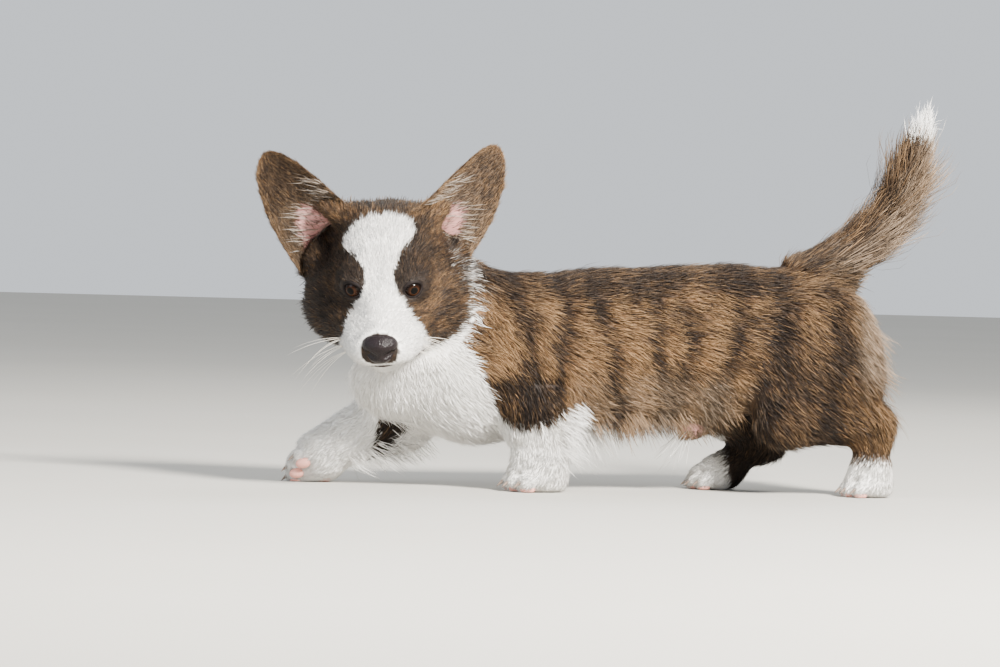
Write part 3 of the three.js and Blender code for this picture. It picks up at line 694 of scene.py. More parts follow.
# %% [markdown]
# ## Markings
# The coat is brindle and white: a dark saddle, dark stripes on a golden flank, a white blaze, collar,
# bib, feet and tail tip. Every edge is written as a real size on the body, then ruffled with a little
# noise. Skin and tufts ask the same functions, so their colours agree wherever a tuft parts.

# %% Noise in millimetres


def ripple(p, size, seed=0):
    """Smooth noise from -1 to 1 that changes over about size millimetres."""
    q = p / size + 0.371 * seed
    cell = np.floor(q).astype(np.int64)
    t = q - cell
    t = t * t * (3 - 2 * t)
    total = np.zeros(len(p))
    for corner in range(8):
        step = np.array([corner & 1, corner >> 1 & 1, corner >> 2])
        key = ((cell + step + 4096) * np.array([73856093, 19349663, 83492791])).sum(-1) + seed * 7919
        key = (key ^ (key >> 13)) * 1274126177 & 0x7FFFFFFF
        key = key ^ (key >> 15)
        total += np.prod(np.where(step, t, 1 - t), -1) * ((key & 0xFFFF) / 32768.0 - 1)
    return total


# %% Where the coat is white
# Height on the face as the viewer meets it, then the blaze's edges to the puppy's right and left.
BLAZE = np.array([
    [38.9, 0, 0], [36.5, -12, 12], [32.7, -18.5, 18], [23.6, -27, 20.5], [15.7, -29, 15.5],
    [9, -20, 11.5], [-0.6, -11.5, 8.5], [-9.6, -11.5, 7.5], [-19.3, -15.5, 12], [-29.7, -21.5, 19],
    [-39.4, -26, 26.5], [-48.4, -28.5, 30], [-54, -31, 33],
])[::-1]
# How far aside on the face, and the level below which it is white there.
CHEEK_LINE = np.array([[30, -52], [40, -49.5], [50, -42], [57, -33], [60, -20], [64, -6]])
# Height on the neck, and how far forward the white bib starts there.
BIB_EDGE = np.array([
    [40, 66], [46, 73], [57, 85], [77, 96], [90, 103],
    [102, 110], [118, 103], [138, 100], [155, 97], [175, 96],
])
TAIL_WHITE = 0.74
NOSE_MIDDLE = [92, 0, -12.5]
NOSE_BARE = [15, 14.4, 13.5]


def face_level(q):
    return 0.88 * q[:, 2] - 0.485 * q[:, 0]


def nose_gap(q):
    """Less than one where the face is bare round the nose leather."""
    return length_of((q - NOSE_MIDDLE) / NOSE_BARE)


def white_on_head(p):
    q = to_head(p)
    level = face_level(q) + 0.8 * ripple(p, 5, 1) + 1.2 * ripple(p, 1.6, 17)
    aside = q[:, 1] + 1.0 * ripple(p, 3.5, 2) + 1.2 * ripple(p, 1.3, 18)
    right = np.interp(level, BLAZE[:, 0], BLAZE[:, 1])
    left = np.interp(level, BLAZE[:, 0], BLAZE[:, 2])
    blaze = smooth(-1.0, 1.0, np.minimum(left - aside, aside - right)) * smooth(-8, 2, q[:, 0])
    low = smooth(-1.5, 1.5, np.interp(np.abs(aside), CHEEK_LINE[:, 0], CHEEK_LINE[:, 1]) - level)
    return np.maximum(blaze * (level < 39), low) * smooth(0.9, 0.97, nose_gap(q))


def white_on_body(p):
    """Bib and collar, both forelegs, both hind feet, and a strip of the belly."""
    u, v, w = p.T
    ruffle = 3.0 * ripple(p, 9, 3) + 1.5 * ripple(p, 4, 4)
    far_bib = smooth(140, 120, u + v * 0.3) + smooth(104, 112, w)
    bib = smooth(-3, 3, u - np.interp(w, BIB_EDGE[:, 0], BIB_EDGE[:, 1]) + ruffle)
    bib = bib * np.where(v > -6, 1, far_bib)
    sock_line = 46.5 + 0.48 * np.maximum(60 - u, 0)
    foreleg = smooth(-1.5, 1.5, sock_line - w + 0.6 * ruffle) * (u > 22) * (u < 110) * (v > 12)
    down_arm = (p - np.array(ELBOW_RIGHT)) @ unit(np.array(WRIST_RIGHT) - np.array(ELBOW_RIGHT, float))
    arm_line = 22 + 0.35 * (49 - 0.48 * (u - 134) - w)
    far_arm = smooth(-2, 2, down_arm - arm_line + ruffle) * (v < 4) * (u > 110) * (w < 100)
    hind_left = smooth(-1.5, 1.5, 24.5 - w + 0.5 * ruffle) * (u < -150)
    hind_right = smooth(-2, 2, u + 98 + 0.5 * ruffle) * (w < 42) * (u > -150) * (u < -60) * (v < -8)
    belly = smooth(56, 42, w + 6 * np.abs(v) / 50) * smooth(-24, 0, u) * (u < 60)
    return np.clip(np.maximum.reduce([bib, foreleg, far_arm, hind_left, hind_right, 0.75 * belly]), 0, 1)


def white_share(p, name):
    if name in ("head", "jaw"):
        return white_on_head(p)
    if name == "tail":
        at, _ = near_tail(p)
        return smooth(-0.02, 0.03, at - TAIL_WHITE + 0.02 * ripple(p, 6, 5))
    if name == "hindpaw_right":
        return smooth(-3, 3, p[:, 0] + 106 + 3 * ripple(p, 6, 44))
    if name.startswith(("forepaw", "hindpaw")):
        return np.ones(len(p))
    return white_on_body(p)


# %% Where it is tan, taupe or dark
# Dark stripes down the flank: where each is at three heights, from low to high, and half its width.
STRIPE_HEIGHTS = (62, 104, 146)
STRIPES = (
    (69, 68, 74, 8), (47, 41, 42, 5.5), (-2, 9, 24, 6), (-34, -21, -26, 6), (-42, -46, -42, 7),
    (-72, -80, -88, 7), (-112, -114, -118, 11), (-150, -156, -150, 9),
)


def tan_on_head(p):
    """Tan on the crown, below the eyes and on the lit cheek, and none close round the eyes. The lit cheek's
    tan is partly its own brown and partly painted light.
    """
    q = to_head(p)
    crown = smooth(20, 40, face_level(q)) * (0.55 + 0.45 * smooth(8, 26, np.abs(q[:, 1])))
    # Partly the cheek's own brown and partly painted light: more tan on the puppy's left cheek, the side that
    # faces the light.
    cheek = smooth(8, 30, q[:, 1]) * smooth(-60, -10, q[:, 2])
    under_eye = smooth(9, 4, length_of(np.abs(q[:, 1:]) - [27, 2]) - 4)
    eyes = np.min([length_of(q - eye_centre(side)) for side in SIDES], 0)
    rim = smooth(EYE_RADIUS + 9, EYE_RADIUS + 2, eyes)
    brow = smooth(5, 14, q[:, 2]) * smooth(34, 22, np.abs(q[:, 1])) * smooth(40, 20, face_level(q))
    fleck = 0.34 * ripple(p, 2.6, 6) + 0.16 * ripple(p, 9, 20)
    base = 0.14 + 0.36 * crown + 0.18 * cheek * (1 - crown) + 0.2 * under_eye + fleck
    return np.clip(base * (1 - 0.85 * rim) * (1 - 0.5 * brow), 0, 1)


def stripe_share(p):
    """How much of a dark stripe passes through each point of the body."""
    bent = p[:, 0] + 5 * ripple(p, 26, 8) + 2.5 * ripple(p, 9, 19)
    stripes = []
    for *places, half_width in STRIPES:
        middle = np.interp(p[:, 2], STRIPE_HEIGHTS, places)
        stripes.append(np.exp(-(((bent - middle) / half_width) ** 2)))
    return np.max(stripes, 0) * (0.86 + 0.14 * ripple(p, 16, 28))


def tan_on_body(p):
    """Golden flanks under the dark saddle, broken by the stripes and dark again at the elbow."""
    u, v, w = p.T
    stripe = stripe_share(p)
    flank = smooth(150, 124, w + 8 * ripple(p, 18, 9)) * smooth(-120, -86, u)
    haunch = smooth(-92, -118, u) * (0.26 + 0.2 * ripple(p, 18, 12) + 0.3 * smooth(-196, -204, u))
    elbow = smooth(88, 74, w) * smooth(38, 50, u)
    patchy = 0.6 + 0.2 * ripple(p, 20, 27)
    shade = (0.22 + patchy * flank * (1 - 0.85 * elbow)) * (1 - 0.85 * stripe) + haunch * (1 - 0.6 * stripe)
    streaks = 0.16 * ripple(p * [1, 1, 0.4], 6, 29)
    # Painted shade: the far legs, in the shade of the body and the head, get less tan.
    far_legs_in_shade = (v < -8) * np.maximum(smooth(95, 105, u), smooth(-60, -70, u) * smooth(80, 66, w))
    return np.clip(shade + streaks + 0.14 * ripple(p, 9, 10), 0, 1) * (1 - 0.75 * far_legs_in_shade)


def tan_share(p, name):
    if name in ("head", "jaw"):
        return tan_on_head(p)
    if name == "tail":
        return np.clip(0.34 + 0.25 * ripple(p, 12, 7), 0, 1)
    return tan_on_body(p)


def taupe_share(p, name):
    """Pale, greyish undercoat on the lower flank, behind the thighs and under the tail; behind the thighs it
    is partly painted light, where the rump faces the light.
    """
    if name in ("head", "jaw"):
        return np.full(len(p), 0.16)
    if name == "tail":
        at, _ = near_tail(p)
        front = unit(p - tail_line[tail_step(at)])[:, 0]
        return np.clip(0.62 - 0.75 * smooth(-0.1, 0.8, front) + 0.3 * ripple(p * [1, 1, 0.4], 7, 13), 0, 0.85)
    u, _, w = p.T
    low_flank = smooth(98, 66, w + 6 * ripple(p, 14, 14)) * smooth(-112, -92, u) * smooth(44, 30, u)
    # Partly the pale coat behind the thighs and partly painted light: the rump is paler where it faces the
    # light.
    buttock = smooth(-160, -184, u + 6 * ripple(p, 14, 15)) * smooth(66, 96, w) * smooth(156, 140, w)
    # The stripe nearest the elbow stays dark down to the belly.
    dark_stripe = np.exp(-(((u - np.interp(w, (56, 104), (-3, 11))) / 5) ** 2))
    low_flank = 0.55 * low_flank * (1 - 0.8 * dark_stripe)
    return np.clip(0.06 + low_flank + 0.85 * buttock + 0.1 * ripple(p, 7, 16), 0, 1)


# %% [markdown]
# ## Materials
# Guard hair is a clear, horny fibre with pigment inside, so it is neither matt nor metal: IOR 1.55 and a
# soft, broad gloss. Its colours are four pigments, and each tuft carries its own share of each of them.

# %% Colour and node helpers


def linear(code):
    """A linear colour from an sRGB hex value."""
    parts = [int(code[i : i + 2], 16) / 255 for i in (0, 2, 4)]
    return tuple(c / 12.92 if c <= 0.04045 else ((c + 0.055) / 1.055) ** 2.4 for c in parts) + (1.0,)


def add(tree, kind, settings=(), **sockets):
    """Adds a node. Settings are its own properties; sockets are values, outputs or other nodes.

    A socket goes by its name, with _ for a space, or by i and its number where names repeat. A node
    stands for the first output that it has in use.
    """
    made = tree.nodes.new(kind)
    for key, value in dict(settings).items():
        setattr(made, key, value)
    for key, value in sockets.items():
        numbered = key[0] == "i" and key[1:].isdigit()
        socket = made.inputs[int(key[1:]) if numbered else key.replace("_", " ")]
        if isinstance(value, bpy.types.Node):
            value = next(output for output in value.outputs if output.enabled)
        if isinstance(value, bpy.types.NodeSocket):
            tree.links.new(value, socket)
        else:
            socket.default_value = value
    return made


def new_material(name):
    made = bpy.data.materials.new(name)
    made.use_nodes = True
    made.node_tree.nodes.clear()
    return made, made.node_tree


def finish_material(tree, color, **settings):
    shader = add(tree, "ShaderNodeBsdfPrincipled", (), Base_Color=color, **settings)
    add(tree, "ShaderNodeOutputMaterial", (), Surface=shader)


COLOURS = {"data_type": "RGBA"}
DARKENED = {"data_type": "RGBA", "blend_type": "MULTIPLY"}
PRODUCT = {"operation": "MULTIPLY"}
SCALED_SUM = {"operation": "MULTIPLY_ADD"}
MILLIMETRES = 1000.0

# %% The coat's material
DARK = linear("120d0b")
DARK_BROWN = linear("1f1612")
TAN = linear("7d5a38")
TAN_TIP = linear("b39169")
TAUPE = linear("a08a74")
WHITE = linear("fbf9f5")
WHITE_IN_ROOT_SHADE = linear("cfc8bf")
PINK = linear("d59a95")
HAIR_IOR = 1.55
# Blotches in the dark pigment, in millimetres; waves across a tuft, and how far chance shifts them.
BLOTCH = 7
STRANDS = 8.0
STRAND_SHIFT = 40.0


def coat_material(name, root_shade):
    """Pigments mixed by each tuft's shares and parted into strands across a tuft, with painted shade towards
    the root and in the grooves between the strands.
    """
    made, tree = new_material(name)
    mark = add(tree, "ShaderNodeAttribute", {"attribute_name": "coat_mark"})
    along = add(tree, "ShaderNodeAttribute", {"attribute_name": "along"})
    across = add(tree, "ShaderNodeAttribute", {"attribute_name": "across"})
    pink = add(tree, "ShaderNodeAttribute", {"attribute_name": "pink"})
    place = add(tree, "ShaderNodeTexCoord")
    share = add(tree, "ShaderNodeSeparateColor", (), Color=mark.outputs["Color"])
    white, tan, taupe = share.outputs
    chance, height = mark.outputs["Alpha"], along.outputs["Fac"]

    offset = add(tree, "ShaderNodeMath", PRODUCT, i0=chance, i1=STRAND_SHIFT)
    turn = add(tree, "ShaderNodeMath", SCALED_SUM, i0=across.outputs["Fac"], i1=STRANDS, i2=offset)
    wave = add(tree, "ShaderNodeMath", {"operation": "SINE"}, i0=turn)
    streak = add(tree, "ShaderNodeMath", SCALED_SUM, i0=wave, i1=0.4, i2=1.0)
    streaked_tan = add(tree, "ShaderNodeMath", PRODUCT, i0=streak, i1=tan)
    tip = add(tree, "ShaderNodeMath", {"operation": "POWER"}, i0=height, i1=1.6)
    noise = {"Vector": place.outputs["Object"], "Scale": MILLIMETRES / BLOTCH, "Detail": 3.0}
    blotch = add(tree, "ShaderNodeTexNoise", (), **noise)

    dark_tone = add(tree, "ShaderNodeMix", COLOURS, i0=blotch, i6=DARK, i7=DARK_BROWN)
    tan_tone = add(tree, "ShaderNodeMix", COLOURS, i0=tip, i6=TAN, i7=TAN_TIP)
    brindle = add(tree, "ShaderNodeMix", COLOURS, i0=streaked_tan, i6=dark_tone, i7=tan_tone)
    pigment = add(tree, "ShaderNodeMix", COLOURS, i0=taupe, i6=brindle, i7=TAUPE)

    # Painted shade among the hairs: darker towards a tuft's root, and darker again in the grooves between its
    # strands.
    lit = add(tree, "ShaderNodeMapRange", (), Value=height, To_Min=root_shade, To_Max=1.0)
    groove = add(tree, "ShaderNodeMath", SCALED_SUM, i0=wave, i1=0.2, i2=lit)
    vary = add(tree, "ShaderNodeMapRange", (), Value=chance, To_Min=0.78, To_Max=1.12)
    both = add(tree, "ShaderNodeMath", PRODUCT, i0=groove, i1=vary)
    shade = add(tree, "ShaderNodeCombineColor", (), Red=both, Green=both, Blue=both)
    shaded = add(tree, "ShaderNodeMix", DARKENED, i0=1.0, i6=pigment, i7=shade)

    # White hair carries the same painted shade, greyer towards the root.
    white_with_root_shade = add(tree, "ShaderNodeMix", COLOURS, i0=lit, i6=WHITE_IN_ROOT_SHADE, i7=WHITE)
    drift = add(tree, "ShaderNodeMapRange", (), Value=chance, To_Min=0.84, To_Max=1.0)
    drift_shade = add(tree, "ShaderNodeCombineColor", (), Red=drift, Green=drift, Blue=drift)
    white_tone = add(tree, "ShaderNodeMix", DARKENED, i0=1.0, i6=white_with_root_shade, i7=drift_shade)

    hair = add(tree, "ShaderNodeMix", COLOURS, i0=white, i6=shaded, i7=white_tone)
    color = add(tree, "ShaderNodeMix", COLOURS, i0=pink.outputs["Fac"], i6=hair, i7=PINK)
    bump = add(tree, "ShaderNodeBump", (), Strength=0.25, Distance=0.0004, Height=wave)
    finish_material(tree, color, Roughness=0.6, IOR=HAIR_IOR, Specular_IOR_Level=0.16, Normal=bump)
    return made


# Guard hair gives a broad, dull sheen; the skin below it is nearly as dull. Both carry painted shade at the
# hair's roots, and the skin, which lies at the roots everywhere, is painted a little lighter than the tufts'
# roots.
coat_finish = coat_material("guard_hair_and_undercoat", 0.66)
skin_finish = coat_material("short_haired_skin", 0.8)

# %% [markdown]
# ## Making the skin one piece
# The skin's mesh carries its markings as an attribute. It is unwrapped once, on its own shape, and the
# tufts borrow that unwrap, each at the place of its root.

# %% Mesh helpers


def fill_mesh(name, points, corners, totals):
    """points in design millimetres; the corners of all faces in one row, and how many each face has."""
    mesh = bpy.data.meshes.new(name)
    mesh.vertices.add(len(points))
    mesh.vertices.foreach_set("co", to_row(points).astype(np.float32).ravel())
    mesh.loops.add(len(corners))
    mesh.loops.foreach_set("vertex_index", np.asarray(corners, np.int32))
    mesh.polygons.add(len(totals))
    mesh.polygons.foreach_set("loop_start", (np.cumsum(totals) - totals).astype(np.int32))
    mesh.polygons.foreach_set("loop_total", np.asarray(totals, np.int32))
    mesh.polygons.foreach_set("use_smooth", np.ones(len(totals), bool))
    mesh.update(calc_edges=True)
    return mesh


def new_mesh(name, points, faces):
    """A mesh whose faces are rows of equal length."""
    faces = np.asarray(faces)
    mesh = fill_mesh(name, points, faces.ravel(), np.full(len(faces), faces.shape[1]))
    mesh.validate()
    return mesh


def new_piece(name, mesh, finish, slot, *replaced):
    piece = bpy.data.objects.new(name, mesh)
    bpy.context.scene.collection.objects.link(piece)
    mesh.materials.append(finish)
    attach(piece, "root")
    if replaced:
        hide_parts(*replaced)
    return piece


def mark_points(mesh, name, values, kind="FLOAT", field="value"):
    attribute = mesh.attributes.new(name, kind, "POINT")
    attribute.data.foreach_set(field, np.asarray(values, np.float32).ravel())


def set_mark(mesh, mark, along, across):
    mark_points(mesh, "coat_mark", mark, "FLOAT_COLOR", "color")
    mark_points(mesh, "along", along)
    mark_points(mesh, "across", across)


# %% Which part each point belongs to
names = list(PARTS)
# How softly one part gives way to the next, in millimetres.
PART_EDGE = 4.5
LEAST_WEIGHT = 0.02
# A little pale pigment among dark hairs looks lighter than its share, so the shares are drawn down.
PIGMENT_CURVE = 2.0


def weights_at(p):
    """How much each part has to say at each point."""
    values = np.stack([PARTS[name]["field"](p) + depth_at(name, p) for name in names], -1)
    share = np.exp(-(values - values.min(-1, keepdims=True)) / PART_EDGE)
    return share / share.sum(-1, keepdims=True)


def marks_at(p, weight, rng, spread):
    """White, tan and taupe shares and a chance number for each point."""
    mark = np.zeros((len(p), 4))
    for i, name in enumerate(names):
        here = weight[:, i] > LEAST_WEIGHT
        if not here.any():
            continue
        q = p[here]
        shares = np.stack([white_share(q, name), tan_share(q, name), taupe_share(q, name)], -1)
        mark[here, :3] += weight[here, i, None] * shares
    mark[:, 0] = smooth(0.3, 0.7, mark[:, 0] + 0.25 * spread * rng.uniform(-1, 1, len(p)))
    mark[:, 1] = np.clip(mark[:, 1] + 0.2 * spread * rng.normal(0, 1, len(p)), 0, 1) ** PIGMENT_CURVE
    mark[:, 2] = np.clip(mark[:, 2] + 0.12 * spread * rng.normal(0, 1, len(p)), 0, 1) ** PIGMENT_CURVE
    mark[:, 3] = rng.uniform(0, 1, len(p))
    return mark


# %% The ear's own colours
EAR_PINK = np.array([0.12, 0.05])


def ear_marks(s, a, inside, rng, spread):
    """Dark and tan on the back and the rims, pale inside, as a coat mark."""
    rim = smooth(0.62, 0.95, np.abs(a)) + smooth(0.8, 1, s)
    mark = np.zeros((len(s), 4))
    mark[:, 1] = np.clip(0.27 + 0.22 * rim + 0.24 * spread * rng.normal(0, 1, len(s)), 0, 1) ** PIGMENT_CURVE
    pale = 0.08 + 0.26 * inside * smooth(0.7, 0.3, s)
    mark[:, 2] = np.clip(pale + 0.15 * spread * rng.normal(0, 1, len(s)), 0, 1) ** PIGMENT_CURVE
    mark[:, 3] = rng.uniform(0, 1, len(s))
    return mark


# %% Build the skin
seed_numbers = np.random.default_rng(7)
ear_points = np.concatenate([ears[side][0] for side in SIDES])
ear_offset = len(ears[1][0])
ear_faces = np.concatenate([ears[1][1], ears[-1][1] + ear_offset]) + len(skin_points)
all_points = np.concatenate([skin_points, ear_points])
all_faces = np.concatenate([skin_faces, ear_faces])
skin_mesh = new_mesh("skin", all_points, all_faces)
s_grid, a_grid = ear_grid()
ear_s = np.tile(s_grid.ravel(), 4)
ear_a = np.tile(a_grid.ravel(), 4)
ear_inside = np.tile(np.repeat([1.0, 0.0], EAR_ROWS * EAR_COLUMNS), 2)
skin_mark = marks_at(skin_points, weights_at(skin_points), seed_numbers, 0.0)
ear_mark = ear_marks(ear_s, ear_a, ear_inside, seed_numbers, 0.0)
set_mark(skin_mesh, np.concatenate([skin_mark, ear_mark]), *np.zeros((2, len(all_points))))
FLESH = [n for n in frame["nodes"] if not n.startswith("eye") and n != "nose"]
skin = new_piece("skin", skin_mesh, skin_finish, "brindle_coat", *FLESH)


def unwrap(piece):
    for other in bpy.context.selected_objects:
        other.select_set(False)
    bpy.context.view_layer.objects.active = piece
    piece.select_set(True)
    piece.data.uv_layers.new(name="OFBake")
    bpy.ops.object.mode_set(mode="EDIT")
    bpy.ops.mesh.select_all(action="SELECT")
    bpy.ops.uv.smart_project(angle_limit=math.radians(60), island_margin=0.002)
    bpy.ops.object.mode_set(mode="OBJECT")
    piece.select_set(False)


def pink_share(s, a, inside):
    """Bare skin low in the ear's cup."""
    cup = smooth(1.1, 0.5, length_of(np.stack([(s - EAR_PINK[0]) / 0.3, (a - EAR_PINK[1]) / 0.5], -1)))
    return cup * inside


pink = pink_share(ear_s, ear_a, ear_inside)
sheath_pink = 0.9 * smooth(17, 11, length_of(skin_points - [-62, 3, 38]))
mark_points(skin_mesh, "pink", np.concatenate([sheath_pink, pink]))
unwrap(skin)
print("skin faces:", len(skin_mesh.polygons))

# %% [markdown]
# ## The coat
# Hair is made as solid tufts. A tuft is a thin wedge: three sides, a root sunk in the skin, and up to
# two bends before its tip. Real hairs number thousands to the square centimetre, far too many to draw,
# so a tuft stands for a lock of them and is as wide as the gaps that show in a real coat. They are
# sown at random over the skin, closer where they are finer, so that they overlap about twofold.

# %% Sow the roots


def skin_triangles(mesh):
    mesh.calc_loop_triangles()
    count = len(mesh.loop_triangles)
    corners = np.zeros(count * 3, np.int32)
    mesh.loop_triangles.foreach_get("vertices", corners)
    loops = np.zeros(count * 3, np.int32)
    mesh.loop_triangles.foreach_get("loops", loops)
    return corners.reshape(-1, 3), loops.reshape(-1, 3)


def vertex_normals(mesh):
    normals = np.zeros(len(mesh.vertices) * 3, np.float32)
    mesh.vertex_normals.foreach_get("vector", normals)
    return normals.reshape(-1, 3).astype(float)


def loop_uvs(mesh):
    uv = np.zeros(len(mesh.loops) * 2, np.float32)
    mesh.uv_layers["OFBake"].data.foreach_get("uv", uv)
    return uv.reshape(-1, 2).astype(float)


def sow(triangles, points, density, rng):
    """Triangle of each root and its place in it, at random, in proportion to area times density."""
    a, b, c = (points[triangles[:, i]] for i in range(3))
    area = length_of(np.cross(b - a, c - a)) / 2
    expected = area * density
    total = np.cumsum(expected)
    chosen = np.searchsorted(total, rng.uniform(0, total[-1], int(total[-1])))
    r1, r2 = rng.uniform(0, 1, (2, len(chosen)))
    root = np.sqrt(r1)
    return chosen, np.stack([1 - root, root * (1 - r2), root * r2], -1)


def between(values, triangles, chosen, share):
    values = np.asarray(values)
    if values.ndim == 1:
        return (values[triangles[chosen]] * share).sum(1)
    return (values[triangles[chosen]] * share[..., None]).sum(1)


def root_uv(loops, chosen, share):
    """Where each root falls on the skin's unwrap."""
    return (uvs[loops[chosen]] * share[..., None]).sum(1)


def wander_at(p, size, seed):
    """A smooth random vector field that changes over about size millimetres."""
    return np.stack([ripple(p, size, seed + i) for i in range(3)], -1)


# %% Shape the tufts
# Share of the length at each ring of a tuft, and of its width there.
SHORT = ((0.0, 1.0),)
MIDDLE = ((0.0, 0.75), (0.45, 1.0))
LONG = ((0.0, 0.6), (0.33, 1.0), (0.7, 0.75))
SINK = 0.7
THICKNESS = 0.32
# Half the size that a tuft's own patch takes up on the unwrap.
PATCH = 0.0015


def tuft_points(root, out, lie, length, width, rise, curl, rings):
    """Corners of every tuft, ring by ring, then its tip."""
    side = unit(np.cross(out, lie))
    sink = SINK if len(rings) > 1 else SINK / 4
    rows = []
    for t, wide in rings:
        centre = root - out * sink * (1 - t) + lie * (length * t)[:, None]
        lifted = out * (length * rise * (t - 0.55 * t * t))[:, None]
        centre = centre + lifted + side * (curl * length * t * t)[:, None]
        half = side * (width * wide / 2)[:, None]
        top = out * (width * wide * THICKNESS)[:, None]
        rows += [centre - half, centre + half, centre + top]
    tip = root + lie * length[:, None] + out * (length * rise * 0.45)[:, None]
    tip = tip + side * (curl * length)[:, None]
    return np.stack([*rows, tip], 1)


def tuft_mesh(name, points, uv, mark, rings):
    """One mesh of many tufts: each is four-sided between rings, three-sided at its root and tip."""
    count, corners = points.shape[:2]
    last = 3 * (len(rings) - 1)
    walls = ((0, 2), (2, 1), (1, 0))
    quads = [[r + i, r + 3 + i, r + 3 + j, r + j] for r in range(0, last, 3) for i, j in walls]
    triangles = [[0, 2, 1]] + [[last + i, corners - 1, last + j] for i, j in walls]
    start = (np.arange(count) * corners)[:, None]
    loops = (start + np.array([i for face in quads + triangles for i in face])).ravel()
    totals = np.tile([len(face) for face in quads + triangles], count)
    mesh = fill_mesh(name, points.reshape(-1, 3), loops, totals)
    along = np.array([t for t, _ in rings for _ in range(3)] + [1.0])
    across = np.array([-1.0, 1.0, 0.2] * len(rings) + [0.0])
    patch = np.stack([across, along * 2 - 1], -1) * PATCH
    spot = (uv[:, None, :] + patch[None]).reshape(-1, 2)
    layer = mesh.uv_layers.new(name="OFBake")
    layer.data.foreach_set("uv", np.clip(spot[loops], 0.0005, 0.9995).astype(np.float32).ravel())
    set_mark(mesh, np.repeat(mark, corners, axis=0), np.tile(along, count), np.tile(across, count))
    return mesh


# %% How long, wide and steep the hair is at each point of the skin
body_triangles, body_loops = skin_triangles(skin_mesh)
is_body = body_triangles.max(1) < len(skin_points)
normals = vertex_normals(skin_mesh)
uvs = loop_uvs(skin_mesh)
vertex_weight = weights_at(skin_points)
vertex_hair = vertex_weight @ np.array([PARTS[name]["hair"] for name in names])
tail_weight = vertex_weight[:, names.index("tail")]


def shorten(p, size):
    """Hair is shortest on the muzzle and round the eyes, and longest on the cheeks' lower edge."""
    q = to_head(p)
    on_head = smooth(3, -1, skull(q) - 1)
    muzzle = smooth(48, 70, q[:, 0])
    eyes = np.min([length_of(q - eye_centre(side)) for side in SIDES], 0)
    round_eye = smooth(EYE_RADIUS + 11, EYE_RADIUS + 1, eyes)
    cheek = smooth(30, 52, np.abs(q[:, 1])) * smooth(5, -25, q[:, 2])
    factor = 1 - on_head * (0.45 * muzzle + 0.35 * round_eye) + 0.7 * on_head * cheek
    return size * factor[:, None] ** np.array([1, 0.6, 0])


vertex_hair = shorten(skin_points, vertex_hair)
# The tail's brush grows out of short hair at its root, and draws in again to the tip.
on_tail, _ = near_tail(skin_points)
brush = (0.12 + 0.88 * smooth(0.02, 0.24, on_tail)) * (1 - 0.38 * smooth(0.66, 0.86, on_tail))
stand = (0.15 + 0.75 * smooth(0.05, 0.4, on_tail)) * (1 - 0.65 * smooth(0.6, 0.8, on_tail))
vertex_hair[:, 0] *= 1 + (brush - 1) * tail_weight
vertex_hair[:, 2] *= 1 + (stand - 1) * tail_weight

# %% Sow the body's tufts
OVERLAP = 1.9
BRUSH_DENSITY = 4.5
BARE_LIDS = 4.0
q = to_head(skin_points)
near_eye = np.min([length_of(q - eye_centre(side)) for side in SIDES], 0)
opening = np.min([opening_field(skin_points, side) for side in SIDES], 0)
bare = (near_eye < EYE_RADIUS + BARE_LIDS) & (opening < 0.9) | (nose_gap(q) < 1)
vertex_density = np.where(bare, 0, OVERLAP / (0.6 * vertex_hair[:, 0] * vertex_hair[:, 1]))
vertex_density *= 1 + (BRUSH_DENSITY - 1) * tail_weight
body_only = body_triangles[is_body]
only_loops = body_loops[is_body]
chance = np.random.default_rng(11)
chosen, share = sow(body_only, all_points, vertex_density[body_only].mean(1), chance)
root = between(all_points, body_only, chosen, share)
out = unit(between(normals, body_only, chosen, share))
spot = root_uv(only_loops, chosen, share)
size = between(vertex_hair, body_only, chosen, share)
weight = weights_at(root)
print("roots on the body:", len(root))


def lie_at(p, out, weight):
    """Which way the hair lies: each part's own way, laid into the surface and ruffled."""
    lie = sum(weight[:, i, None] * PARTS[name]["lie"](p) for i, name in enumerate(names))
    lie = unit(lie) + 0.28 * wander_at(p, 22, 21) + 0.2 * wander_at(p, 5, 24)
    return unit(lie - out * (lie * out).sum(-1, keepdims=True))


def crop_of(root, out, lie, size, mark, spot, rng):
    """Everything that shapes one sowing of tufts, with each one a little different."""
    vary = rng.normal(0, 1, (4, len(root)))
    return {
        "root": root, "out": out, "lie": lie, "mark": mark, "spot": spot,
        "length": size[:, 0] * np.exp(0.2 * vary[0]), "width": size[:, 1] * np.exp(0.15 * vary[1]),
        "rise": size[:, 2] * np.exp(0.3 * vary[2]), "curl": 0.12 * vary[3],
    }


body_lie = lie_at(root, out, weight)
body_coat = crop_of(root, out, body_lie, size, marks_at(root, weight, chance, 1.0), spot, chance)

